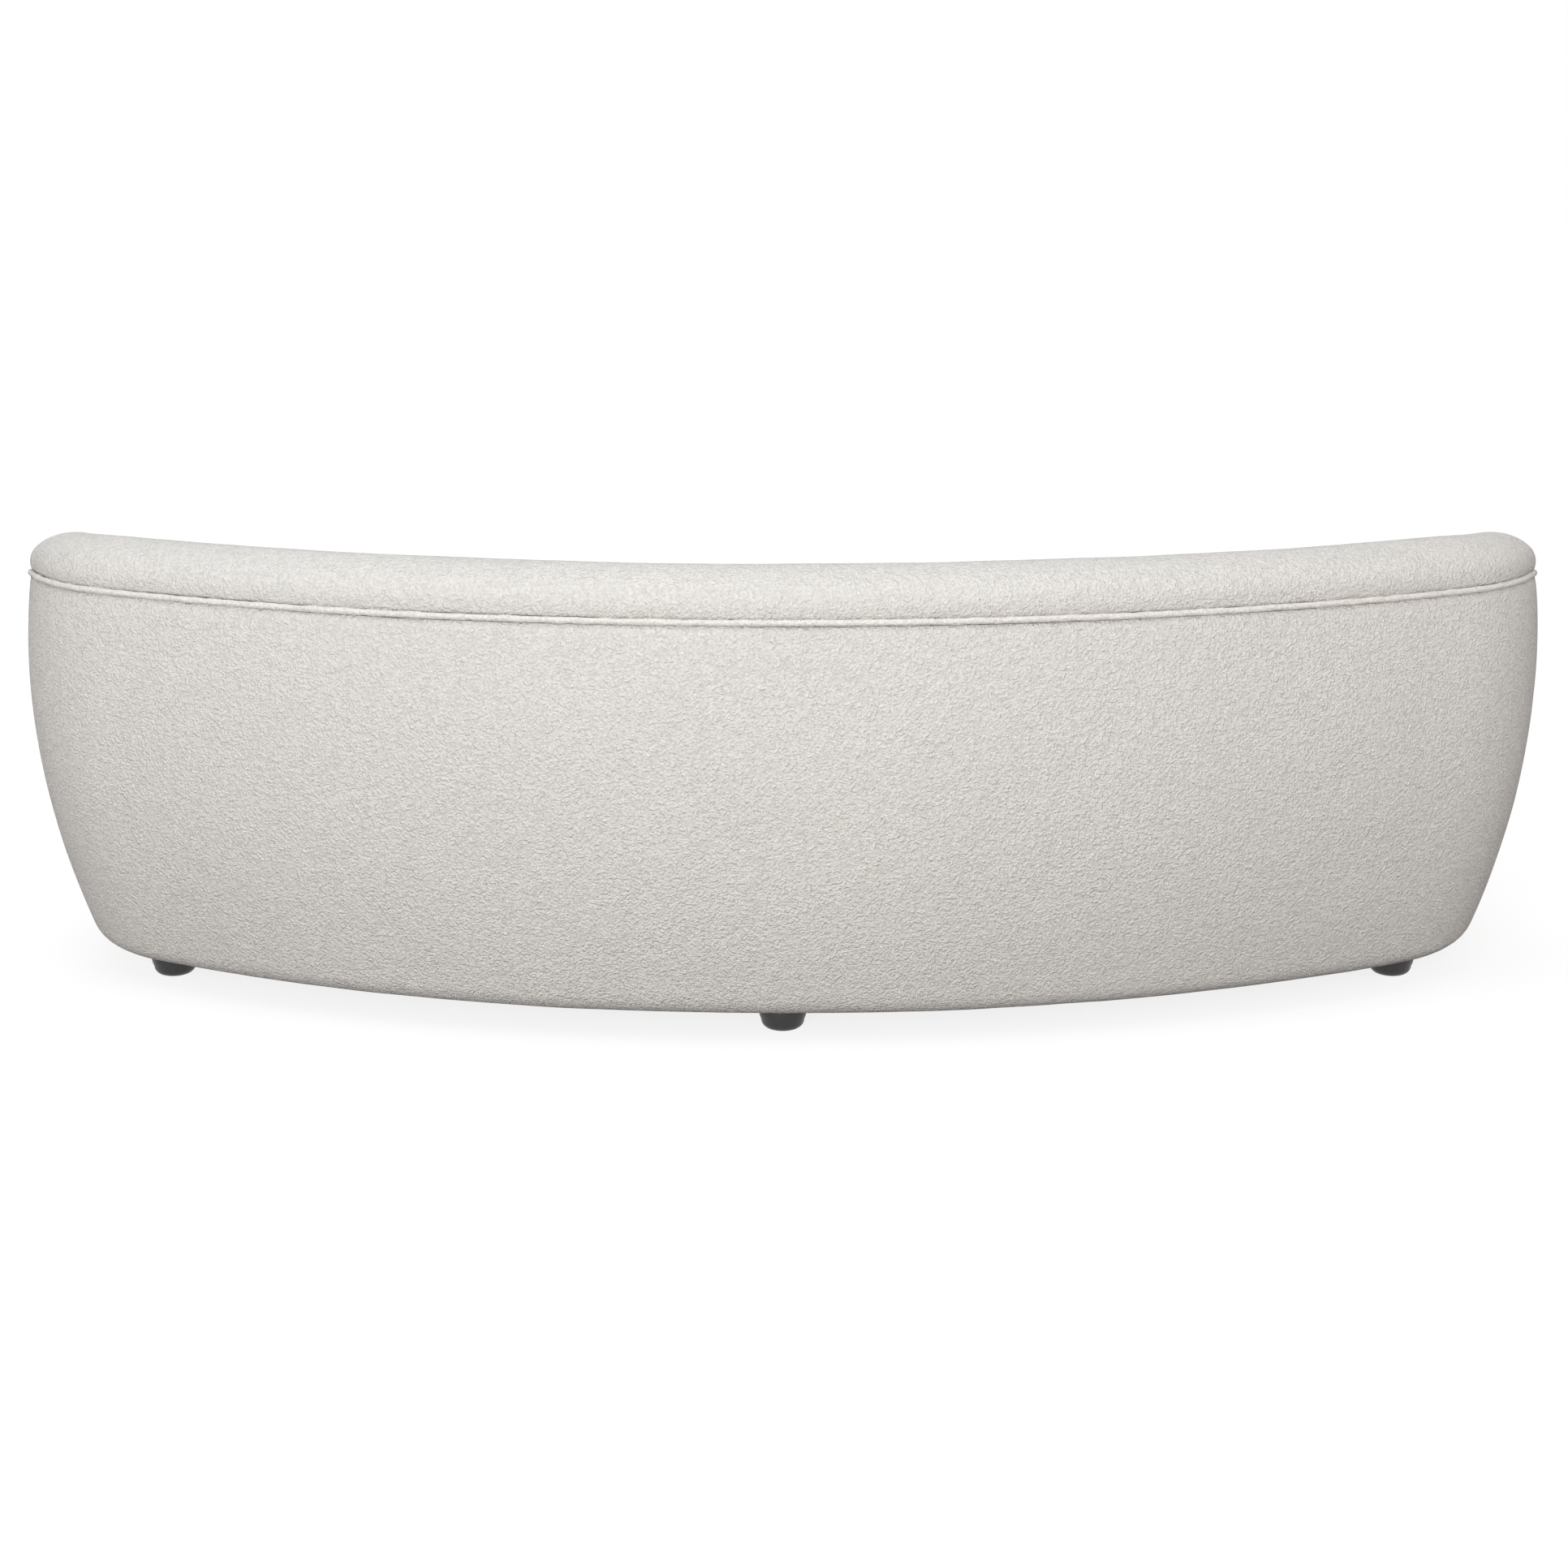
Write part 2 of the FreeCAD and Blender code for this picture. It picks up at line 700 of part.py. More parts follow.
def bean_board(label, outline, bottom, thickness, hole=None, bores=()):
    """A flat board of bean outline, with an optional bean opening and round bores."""
    body = new_body(label)
    sketch = new_sketch(body, label + "Outline", height=bottom)
    draw_bean(sketch, outline, "edge")
    pad(body, sketch, thickness)
    if hole is not None:
        opening = new_sketch(body, label + "Opening", height=bottom)
        draw_bean(opening, hole, "opening")
        pocket_through(body, opening)
    if bores:
        drilled = new_sketch(body, label + "Bores", height=bottom)
        for index, (x, y, radius) in enumerate(bores):
            draw_circle(drilled, "bore%d" % index, (x, y), radius)
        pocket_through(body, drilled)
    return body


def rectangle_board(label, x, front, back, thickness_x, bottom, height):
    """A straight board that runs from front to back, centred on x."""
    body = new_body(label)
    sketch = new_sketch(body, label + "Plan", height=bottom)
    half = thickness_x / 2
    draw_polygon(sketch, [(-half, front), (half, front), (half, back), (-half, back)])
    pad(body, sketch, height)
    if isinstance(x, Term):
        body.setExpression("Placement.Base.x", x.text)
        body.Placement = Placement(Vector(x.value, 0, 0), Rotation())
    return body


def revolved(label, points, at=None):
    """A piece turned about an upright axis from a half section of corners (radius, height)."""
    body = new_body(label)
    sketch = new_sketch(body, label + "Profile", "XZ_Plane")
    draw_polygon(sketch, points)
    turned = body.newObject("PartDesign::Revolution", label + "Turn")
    turned.Profile = sketch
    turned.ReferenceAxis = (sketch, ["V_Axis"])
    turned.Angle = 360.0
    doc.recompute()
    if at is not None:
        set_place(body, at)
    return body


def set_place(body, at):
    """Move a body to a place given as a pair of terms or numbers."""
    for axis, value in zip("xy", at):
        if isinstance(value, Term):
            body.setExpression("Placement.Base.%s" % axis, value.text)
    body.Placement = Placement(Vector(number_of(at[0]), number_of(at[1]), 0), Rotation())


# Levels, from the floor up

GAP = size("seat_gap")
PANEL_FOOT = size("ground_clearance") + size("cover_thickness") + GAP
PANEL_TOP = PANEL_FOOT + size("board")
RIB_FOOT = PANEL_TOP + GAP
DECK_COVER_FOOT = size("deck_height") - size("deck_cover_thickness")
DECK_PAD_FOOT = DECK_COVER_FOOT - GAP - size("deck_pad_thickness")
STRAP_FOOT = DECK_PAD_FOOT - GAP - size("strap_thickness")
RING_FOOT = STRAP_FOOT - GAP - size("board")
DUST_COVER_FOOT = size("ground_clearance") - GAP - size("dust_cover_thickness")
FOOT_TOP = DUST_COVER_FOOT - GAP
CUSHION_FOOT = size("deck_height") + GAP


# Feet and their bolts

def foot_places():
    """Places of the six feet as pairs of terms, by name."""
    inset = size("foot_inset")
    rear, front = math.radians(mm("rear_foot_heading")), math.radians(mm("front_foot_heading"))
    corner_reach = size("corner_radius") - inset
    corner_x = size("overall_width") / 2 - size("corner_radius")
    turn_reach = size("back_radius") - size("corner_radius")
    corner_y = root(turn_reach * turn_reach - corner_x * corner_x) - size("back_radius")
    rear_x = corner_x + corner_reach * math.sin(rear)
    rear_y = corner_y + corner_reach * math.cos(rear)
    tip_x, tip_y = ARCS[3][0]
    tip_reach = size("front_corner_radius") - inset
    front_x = tip_x + tip_reach * math.sin(front)
    front_y = tip_y + tip_reach * math.cos(front)
    return {
        "rear_centre": (0.0, -inset),
        "rear_left": (-rear_x, rear_y),
        "rear_right": (rear_x, rear_y),
        "front_centre": (0.0, inset - size("centre_depth")),
        "front_left": (-front_x, front_y),
        "front_right": (front_x, front_y),
    }


FOOT_PLACES = foot_places()


def foot():
    """The pattern of the turned bun foot, with a blind bore for its bolt."""
    bore, top = size("bolt_radius"), FOOT_TOP
    floor_of_bore = top - size("bolt_sunk")
    edge, side = size("foot_edge_radius"), size("foot_base_radius")
    slant = math.sqrt(0.5)
    bun = [(side - edge, 0.0), (side - edge * (1 - slant), edge * (1 - slant)), (side, edge)]
    body = revolved("foot", [(0.0, 0.0)] + bun + [
        (size("foot_top_radius"), top), (bore + GAP, top), (bore + GAP, floor_of_bore), (0.0, floor_of_bore),
    ])
    PARTS.remove(body)
    return body


def group(label, pattern, names):
    """Copies of a pattern under the named feet, as one sub-part of separate solids."""
    shapes = []
    for name in names:
        copy = pattern.copy()
        copy.translate(Vector(*[number_of(value) for value in FOOT_PLACES[name]], 0))
        shapes.append(copy)
    return feature(label, Part.makeCompound(shapes))


def foot_bolt():
    """Pattern of the bolt that runs from the foot up through the base panel and its nut."""
    low = FOOT_TOP.value - mm("bolt_sunk") + mm("seat_gap")
    high = PANEL_TOP.value + mm("nut_height") + 2 * mm("seat_gap")
    return Part.makeCylinder(mm("bolt_radius"), high - low, Vector(0, 0, low))


def foot_nut():
    """Pattern of the hexagon nut on top of the base panel."""
    low = PANEL_TOP.value + mm("seat_gap")
    reach = mm("nut_width") / 2 / math.cos(math.pi / 6)
    corners = [Vector(reach * math.cos(k * math.pi / 3), reach * math.sin(k * math.pi / 3), low) for k in range(7)]
    blank = Part.Face(Part.makePolygon(corners)).extrude(Vector(0, 0, mm("nut_height")))
    return blank.cut(Part.makeCylinder(mm("bolt_radius") + mm("thread_gap"), 2 * low, Vector(0, 0, 0)))


# Seat

def front_face_y(x, inset):
    """Depth of a face inset behind the hollow front at a place across, as a term."""
    reach = size("front_radius") + inset
    return root(reach * reach - x * x) - (size("centre_depth") + size("front_radius"))


def back_face_y(x, inset):
    """Depth of a face inset in front of the back arc at a place across, as a term."""
    reach = size("back_radius") - inset
    return root(reach * reach - x * x) - size("back_radius")


def front_band_section(thick):
    """Corners and arcs of the front band's cover, from its flange up and over the deck's front edge."""
    top, radius = mm("deck_height"), mm("front_roll_radius")
    shoulder = top - radius
    edge = profile_offset(shoulder)
    outside, inside = cover_side_section(shoulder)
    slant = radius * (1 - math.sqrt(0.5))
    roll = [(edge, shoulder), (edge - slant, top - slant), (edge - radius, top)]
    deck = -mm("rib_depth")
    inner = radius - thick
    slant_in = inner * (1 - math.sqrt(0.5))
    inner_edge = profile_offset(shoulder, thick)
    roll_in = [
        (edge - radius, top - thick),
        (inner_edge - slant_in, top - thick - slant_in),
        (inner_edge, shoulder),
    ]
    over = [
        edge_2d("arc", *roll),
        edge_2d("line", roll[-1], (deck, top)),
        edge_2d("line", (deck, top), (deck, top - thick)),
        edge_2d("line", (deck, top - thick), roll_in[0]),
        edge_2d("arc", *roll_in),
    ]
    return outside + over + inside


def front_foam_section(inner):
    """Foam between the apron and the front band, up to the deck cover."""
    skin = mm("cover_thickness") + mm("foam_gap")
    radius = mm("front_roll_radius") - skin
    top = mm("deck_height") - skin
    shoulder = mm("deck_height") - mm("front_roll_radius")
    edge = profile_offset(shoulder) - skin
    slant = radius * (1 - math.sqrt(0.5))
    low = mm("ground_clearance") + mm("base_corner_radius") + mm("board")
    middle = (low + shoulder) / 2
    return [
        edge_2d("arc", (profile_offset(low, skin), low), (profile_offset(middle, skin), middle), (edge, shoulder)),
        edge_2d("arc", (edge, shoulder), (edge - slant, top - slant), (edge - radius, top)),
        edge_2d("line", (edge - radius, top), (inner, top)),
        edge_2d("line", (inner, top), (inner, low)),
        edge_2d("line", (inner, low), (profile_offset(low, skin), low)),
    ]


def front_sweep(edges, trim):
    """A section turned about the centre of the hollow front, from one arm to the other."""
    centre = Vector(FRONT_CENTRE[0], FRONT_CENTRE[1], 0)
    turn = FRONT_TURN - math.degrees(trim / mm("front_radius"))
    start = Vector(math.sin(math.radians(turn)), math.cos(math.radians(turn)), 0)
    made = []
    for kind, points in edges:
        spots = [centre + start * (mm("front_radius") - offset) + Vector(0, 0, height) for offset, height in points]
        made.append(Part.LineSegment(*spots).toShape() if kind == "line" else Part.Arc(*spots).toShape())
    face = Part.Face(Part.Wire(made))
    solid = face.revolve(centre, Vector(0, 0, 1), 2 * turn)
    return solid if solid.Volume > 0 else solid.reversed()


# Seat cushion

def cushion_outline(draw):
    """Outline of the cushion's widest level, drawn in by a distance."""
    gap = size("cushion_gap")
    back = size("back_radius") - size("back_depth_low") - gap
    return Outline(
        half=size("overall_width") / 2 - size("arm_depth_low") - size("cushion_side_gap") - draw,
        back=back - draw,
        back_centre=size("back_radius"),
        corner=size("cushion_corner_radius") - draw,
        side=size("cushion_side_radius") - draw,
        tip=size("cushion_tip_radius") - draw,
        front=size("front_radius") + size("cushion_front_setback") + draw,
        front_centre=size("centre_depth") + size("front_radius"),
    )


def cushion_levels():
    """The cushion's levels as (draw, height above its foot): drawn in at both seams, crowned on top."""
    draw, thick, crown = size("cushion_edge_draw"), size("cushion_thickness"), size("cushion_crown")
    seam = size("cushion_welt_radius") * 2
    full = draw * 0.0
    return [
        (draw, thick * 0.0), (draw, seam), (full, thick * 0.35), (full, thick * 0.65),
        (draw, thick - seam), (draw, thick), (draw * 4.4, thick + crown),
    ]


def cushion():
    """The loose seat cushion, lofted through bean outlines."""
    body = new_body("seat_cushion")
    sketches = []
    for index, (draw, rise) in enumerate(cushion_levels()):
        sketch = new_sketch(body, "CushionLevel%d" % index, height=CUSHION_FOOT + rise)
        draw_bean(sketch, cushion_outline(draw), "level")
        sketches.append(sketch)
    loft = body.newObject("PartDesign::AdditiveLoft", "CushionLoft")
    loft.Profile = sketches[0]
    loft.Sections = sketches[1:]
    loft.Ruled = True
    doc.recompute()
    return body


def bean_wire(outline, height):
    """A bean outline as one wire of arcs at a height."""
    arcs, front_centre = outline.arcs()
    half = []
    for centre, radius, first, last in arcs:
        spots = []
        for heading in (first, (first + last) / 2, last):
            angle = math.radians(heading)
            x, y = centre[0] + radius * math.sin(angle), centre[1] + radius * math.cos(angle)
            spots.append(Vector(x, y, height))
        half.append(spots)
    mirrored = [[Vector(-spot.x, spot.y, spot.z) for spot in spots] for spots in half]
    start, end = half[-1][-1], mirrored[-1][-1]
    middle = Vector(0, front_centre[1] + outline.front.value, height)
    back = [mirrored[0][-1], half[0][0], half[0][-1]]
    rows = [back] + half[1:] + [[start, middle, end]] + [row[::-1] for row in reversed(mirrored[1:])]
    return Part.Wire([Part.Arc(*row).toShape() for row in rows])


def cushion_welt(label, rise):
    """Welt cord round a seam of the cushion, six sided."""
    draw = size("cushion_edge_draw")
    radius = mm("cushion_welt_radius")
    outline = cushion_outline(draw - size("cushion_welt_radius") - size("slip_gap"))
    path = bean_wire(outline, CUSHION_FOOT.value + rise)
    start = path.Edges[0].valueAt(path.Edges[0].FirstParameter)
    way = path.Edges[0].tangentAt(path.Edges[0].FirstParameter)
    up = Vector(0, 0, 1)
    aside = way.cross(up)
    turns = [math.radians(60 * step) for step in range(7)]
    corners = [start + aside * (radius * math.cos(turn)) + up * (radius * math.sin(turn)) for turn in turns]
    return feature(label, path.makePipeShell([Part.makePolygon(corners)], True, False))


# The sofa

def build_frame():
    """Base panel, ring, apron, joists, ribs, posts, rail and linings."""
    inset = size("base_inset")
    bores = [(x, y, size("bolt_radius") + GAP) for x, y in FOOT_PLACES.values()]
    bean_board("base_panel", COVER_OUTLINE.inset(inset), PANEL_FOOT, size("board"), bores=bores)
    frame_line = size("rib_depth") + GAP
    ring = COVER_OUTLINE.inset(frame_line)
    opening = COVER_OUTLINE.inset(frame_line + size("ring_width"), tip=size("ring_width") / 2)
    bean_board("seat_ring", ring, RING_FOOT, size("board"), hole=opening)
    thick = mm("apron_thickness")
    low, high = RIB_FOOT.value, RING_FOOT.value - GAP.value
    near = -frame_line.value
    corners = [(near, low), (near, high), (near - thick, high), (near - thick, low)]
    apron = polyline(corners + corners[:1])
    feature("front_apron", front_sweep(apron, mm("rib_depth")))
    pitch = size("joist_pitch")
    for number, share in enumerate((-2.5, -1.5, -0.5, 0.5, 1.5, 2.5), start=1):
        x = pitch * share
        front = front_face_y(x, frame_line + size("apron_thickness")) + size("joist_thickness") / 2
        back = back_face_y(x, size("rib_depth")) - size("joist_thickness") / 2
        rectangle_board("seat_joist_%d" % number, x, front, back, size("joist_thickness"),
                        RIB_FOOT, RING_FOOT - GAP - RIB_FOOT)
    half_count = 5
    reach = run_to(SIDE_TURN - 4.0)
    for step in range(-half_count, half_count + 1):
        rib("rib_%d" % (step + half_count + 1), heading_at(reach * step / half_count))
    for name, side in (("left", -1), ("right", 1)):
        rib("arm_post_" + name, side * (LAST_HEADING + SIDE_TURN) / 2, mm("board") - mm("post_drop"))
    for label, section in (("top_rail", rail_section), ("outer_lining", outer_lining_section),
                           ("inner_lining", inner_lining_section)):
        feature(label, wall_loft(section, wall_headings(SIDE_TURN)))


def heading_at(run):
    """The heading at a length along the outline, negative for the left half."""
    low, high = 0.0, LAST_HEADING
    for _ in range(40):
        middle = (low + high) / 2
        if run_to(middle) < abs(run):
            low = middle
        else:
            high = middle
    return math.copysign((low + high) / 2, run) if run else 0.0


def build_upholstery():
    """Foam, covers and welt of the wall, the front band and the deck."""
    feature("outer_cover", wall_loft(outer_cover_section, wall_headings(LAST_HEADING)))
    feature("inside_cover", wall_loft(inside_cover_section, wall_headings(LAST_HEADING)))
    feature("welt_cord", wall_loft(welt_section, wall_headings(LAST_HEADING)))
    feature("back_foam", wall_loft(wall_foam_section, wall_headings(BACK_TURN)))
    arm = [heading for heading in headings_between(0.0, LAST_HEADING) if heading > BACK_TURN - 0.5][:-2]
    feature("arm_foam_right", wall_loft(wall_foam_section, arm))
    feature("arm_foam_left", wall_loft(wall_foam_section, [-heading for heading in reversed(arm)]))
    feature("front_cover", front_sweep(front_band_section(mm("cover_thickness")), mm("seat_gap")))
    foam_inner = -mm("rib_depth")
    feature("front_foam", front_sweep(front_foam_section(foam_inner), mm("seat_gap")))
    pad_edge = COVER_OUTLINE.inset(size("rib_depth") + GAP)
    bean_board("deck_pad", pad_edge, DECK_PAD_FOOT, size("deck_pad_thickness"))
    bean_board("deck_cover", pad_edge, DECK_COVER_FOOT, size("deck_cover_thickness"))
    bores = [(x, y, size("bolt_radius") + GAP) for x, y in FOOT_PLACES.values()]
    bean_board("dust_cover", COVER_OUTLINE.inset(size("dust_cover_inset")), DUST_COVER_FOOT,
               size("dust_cover_thickness"), bores=bores)


def build_webbing():
    """Elastic straps stretched over the seat ring from front to back."""
    count = 9
    for number in range(count):
        x = size("strap_pitch") * (number - (count - 1) / 2)
        grip = size("ring_width") / 5
        front = front_face_y(x, size("rib_depth")) + grip
        back = back_face_y(x, size("rib_depth")) - grip
        rectangle_board("strap_%d" % (number + 1), x if abs(x.value) > 0 else 0.0, front, back,
                        size("strap_width"), STRAP_FOOT, size("strap_thickness"))


def build_feet():
    """Feet, bolts and nuts."""
    names = list(FOOT_PLACES)
    pattern = foot().Shape
    group("rear_feet", pattern, names[:3])
    group("front_feet", pattern, names[3:])
    group("foot_bolts", foot_bolt(), names)
    group("foot_nuts", foot_nut(), names)


def build_cushion():
    """The loose cushion with the welts of its two seams."""
    cushion()
    low = mm("cushion_welt_radius")
    cushion_welt("cushion_welt_low", low)
    cushion_welt("cushion_welt_high", mm("cushion_thickness") - low)


def centre_on_depth():
    """Move every sub-part along Y so that the origin lies under the middle of the sofa."""
    tip_centre, tip_radius = ARCS[3][:2]
    shift = Vector(0, (tip_radius - tip_centre[1]) / 2, 0)
    for part in PARTS:
        part.Placement = Placement(part.Placement.Base + shift, Rotation())


def check_and_write():
    """Check each object and write each sub-part to its own file."""
    doc.recompute()
    for item in doc.Objects:
        bad = {"Invalid", "Error"} & set(item.State)
        if bad:
            raise RuntimeError("%s: %s" % (item.Label, bad))
    for part in PARTS:
        shape = part.Shape
        if shape.isNull() or not shape.isValid() or not shape.Solids:
            raise RuntimeError("%s has no valid solid" % part.Label)
    os.makedirs("parts", exist_ok=True)
    for part in PARTS:
        part.Shape.exportStep("parts/%s.step" % part.Label)
        box = part.Shape.BoundBox
        print("%-20s %7.3f L  z %.1f to %.1f" % (part.Label, part.Shape.Volume / 1e6, box.ZMin, box.ZMax))


build_frame()
build_upholstery()
build_webbing()
build_feet()
build_cushion()
centre_on_depth()
check_and_write()
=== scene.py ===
"""Dressing of a curved sofa: padded covers, welts, loose seat cushion, turned feet and boards.

The studio has a pale floor, soft lamps and a camera behind the sofa, a little above its back.
"""

import json
import logging
import math
from dataclasses import dataclass, field
from enum import Enum
from typing import Any, Callable, Iterable, Sequence

import bmesh
import bpy
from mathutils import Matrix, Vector, noise


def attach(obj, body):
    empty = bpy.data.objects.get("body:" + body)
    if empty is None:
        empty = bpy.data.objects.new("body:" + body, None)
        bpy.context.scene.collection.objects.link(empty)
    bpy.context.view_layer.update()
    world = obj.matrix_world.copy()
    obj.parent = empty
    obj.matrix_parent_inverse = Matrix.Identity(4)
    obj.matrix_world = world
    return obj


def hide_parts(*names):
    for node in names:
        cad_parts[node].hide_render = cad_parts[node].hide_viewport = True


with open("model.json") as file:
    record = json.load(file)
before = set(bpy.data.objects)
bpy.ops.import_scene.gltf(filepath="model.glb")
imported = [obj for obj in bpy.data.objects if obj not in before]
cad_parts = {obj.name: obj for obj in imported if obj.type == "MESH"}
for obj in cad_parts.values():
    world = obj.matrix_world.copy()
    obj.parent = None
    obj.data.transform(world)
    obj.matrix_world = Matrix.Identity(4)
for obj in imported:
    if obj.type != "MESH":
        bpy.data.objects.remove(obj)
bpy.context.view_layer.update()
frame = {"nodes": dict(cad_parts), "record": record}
LOG = logging.getLogger("sofa")

Pair = tuple[float, float]


# Finishes


class Number:
    """A number socket of a material. Python arithmetic on it adds Math nodes."""

    def __init__(self, board: "NodeBoard", socket: Any) -> None:
        """Wrap a socket of a board."""
        self.board = board
        self.socket = socket

    def _math(self, operation: str, first: Any, second: Any) -> "Number":
        """Add a Math node.

        Args:
            operation: The Math node's operation.
            first: A number or a wrapped socket.
            second: A number or a wrapped socket.

        Returns:
            The wrapped result.
        """
        made = self.board.add("ShaderNodeMath", {"operation": operation}, {0: first, 1: second})
        return Number(self.board, made.outputs[0])

    def __add__(self, other: Any) -> "Number":
        """Sum."""
        return self._math("ADD", self, other)

    def __sub__(self, other: Any) -> "Number":
        """Difference."""
        return self._math("SUBTRACT", self, other)

    def __rsub__(self, other: Any) -> "Number":
        """Difference, reflected."""
        return self._math("SUBTRACT", other, self)

    def __mul__(self, other: Any) -> "Number":
        """Product."""
        return self._math("MULTIPLY", self, other)

    def clamped(self) -> "Number":
        """The same number held between 0 and 1."""
        return self._math("MAXIMUM", self._math("MINIMUM", self, 1.0), 0.0)


class NodeBoard:
    """The node tree of one material, with its shader and its object coordinates."""

    def __init__(self, name: str) -> None:
        """Start a material with an empty tree."""
        self.material = bpy.data.materials.new(name)
        self.material.use_nodes = True
        self.tree = self.material.node_tree
        self.tree.nodes.clear()
        self.place = self.add("ShaderNodeTexCoord").outputs["Object"]

    def add(self, kind: str, settings: dict[str, Any] | None = None,
            sockets: dict[Any, Any] | None = None) -> Any:
        """Add a node.

        Args:
            kind: The node's type.
            settings: Its own settings, set before its sockets.
            sockets: Values or links of its inputs, by name or number.

        Returns:
            The node.
        """
        made = self.tree.nodes.new(kind)
        for key, value in (settings or {}).items():
            setattr(made, key, value)
        for key, value in (sockets or {}).items():
            self.feed(made.inputs[key], value)
        return made

    def feed(self, socket: Any, value: Any) -> None:
        """Link a value's socket to an input, or set the input to a plain value."""
        if isinstance(value, Number):
            self.tree.links.new(value.socket, socket)
        elif isinstance(value, bpy.types.NodeSocket):
            self.tree.links.new(value, socket)
        else:
            socket.default_value = value

    def stretched(self, scale: Sequence[float]) -> Any:
        """The object coordinates scaled by an amount along each axis."""
        made = self.add("ShaderNodeMapping", {}, {"Vector": self.place, "Scale": scale})
        return made.outputs["Vector"]

    def noise(self, scale: float, detail: float = 2.0, roughness: float = 0.5,
              place: Any = None) -> Number:
        """Soft noise from 0 to 1, with about scale lumps in a metre."""
        sockets = {"Vector": place or self.place, "Scale": scale, "Detail": detail,
                   "Roughness": roughness}
        return Number(self, self.add("ShaderNodeTexNoise", {}, sockets).outputs["Fac"])

    def curls(self, scale: float, place: Any) -> Number:
        """Round curls of yarn, 1 at the middle of each and 0 between them."""
        settings = {"feature": "SMOOTH_F1"}
        sockets = {"Vector": place, "Scale": scale, "Smoothness": 0.35, "Randomness": 1.0}
        made = self.add("ShaderNodeTexVoronoi", settings, sockets)
        return (1.0 - Number(self, made.outputs["Distance"]) * 1.35).clamped()

    def wandering(self, scale: float, reach: float) -> Any:
        """Object coordinates pushed about by noise, so that a pattern on them wanders."""
        push = self.add("ShaderNodeTexNoise", {},
                        {"Vector": self.place, "Scale": scale, "Detail": 2.0})
        middle = self.vector("SUBTRACT", {0: push.outputs["Color"], 1: (0.5,) * 3})
        sized = self.vector("SCALE", {0: middle, "Scale": reach})
        return self.vector("ADD", {0: self.place, 1: sized})

    def vector(self, operation: str, sockets: dict[Any, Any]) -> Any:
        """A vector worked out from the vectors and numbers of some sockets."""
        return self.add("ShaderNodeVectorMath", {"operation": operation}, sockets).outputs[0]

    def mixed(self, share: Any, first: Any, second: Any, blend: str = "MIX") -> Any:
        """A colour between two colours, by a share from 0 to 1."""
        settings = {"data_type": "RGBA", "blend_type": blend}
        made = self.add("ShaderNodeMix", settings, {0: share, 6: first, 7: second})
        return made.outputs[2]

    def bump(self, height: Any, depth: float, strength: float = 1.0) -> Any:
        """A normal from a height, whose full range stands for a depth in metres."""
        sockets = {"Height": height, "Distance": depth, "Strength": strength}
        return self.add("ShaderNodeBump", {}, sockets).outputs["Normal"]

    def finish(self, **sockets: Any) -> bpy.types.Material:
        """Close the tree with a shader.

        Args:
            sockets: Values or links of the shader's inputs, with _ for a blank.

        Returns:
            The material.
        """
        named = {key.replace("_", " "): value for key, value in sockets.items()}
        shader = self.add("ShaderNodeBsdfPrincipled", {}, named)
        end = self.add("ShaderNodeOutputMaterial")
        self.tree.links.new(shader.outputs["BSDF"], end.inputs["Surface"])
        return self.material


@dataclass(frozen=True)
class Boucle:
    """Looped off-white yarn: round curls of two sizes with loose fibres over them, coloured with
    painted shade in the hollows between the curls and painted light on their tops.
    """

    name: str
    # light is the yarn's colour with painted light on the curls' tops; shade is the painted shade of
    # the hollows between them, warmer and pinker like shadow.
    light: tuple[float, float, float] = (0.900, 0.889, 0.862)
    shade: tuple[float, float, float] = (0.720, 0.697, 0.668)
    curl: float = 150.0
    depth: float = 0.0070

    def material(self) -> bpy.types.Material:
        """Build the yarn's material."""
        board = NodeBoard(self.name)
        place = board.wandering(self.curl * 1.1, 0.0035)
        large = board.curls(self.curl, place)
        small = board.curls(self.curl * 1.9, place)
        fibre = board.noise(self.curl * 2.8, 4.0, 0.75)
        clump = board.noise(self.curl * 0.4, 2.0, 0.6)
        height = large * 0.27 + small * 0.38 + fibre * 0.52 + clump * 0.30
        patch = board.noise(3.2, 3.0, 0.55)
        # Painted shade and light: the colour goes from shade between the curls to light on their
        # tops, following the bump's height, with random patches.
        painted_light_share = ((height - 0.66) * 2.3 + (patch - 0.5) * 0.18 + 0.66).clamped()
        yarn = board.mixed(painted_light_share, (*self.shade, 1.0), (*self.light, 1.0))
        warm = board.mixed(board.noise(1.7, 2.0), (0.985, 0.99, 1.0, 1.0), (1.0, 0.99, 0.972, 1.0))
        colour = board.mixed(1.0, yarn, warm, "MULTIPLY")
        return board.finish(Base_Color=colour, Roughness=0.95, Sheen_Weight=0.18,
                            Sheen_Roughness=0.6, Specular_IOR_Level=0.12,
                            Normal=board.bump(height, self.depth))


@dataclass(frozen=True)
class BlackWood:
    """Black stained beech with its grain just showing, satin."""

    name: str

    def material(self) -> bpy.types.Material:
        """Build the stained wood's material."""
        board = NodeBoard(self.name)
        grain = board.noise(40.0, 6.0, 0.6, board.stretched((6.0, 6.0, 0.6)))
        colour = board.mixed(grain, (0.010, 0.010, 0.012, 1.0), (0.034, 0.031, 0.032, 1.0))
        rough = grain * 0.18 + board.noise(180.0) * 0.1 + 0.24
        return board.finish(Base_Color=colour, Roughness=rough,
                            Normal=board.bump(grain, 0.0006, 0.5))


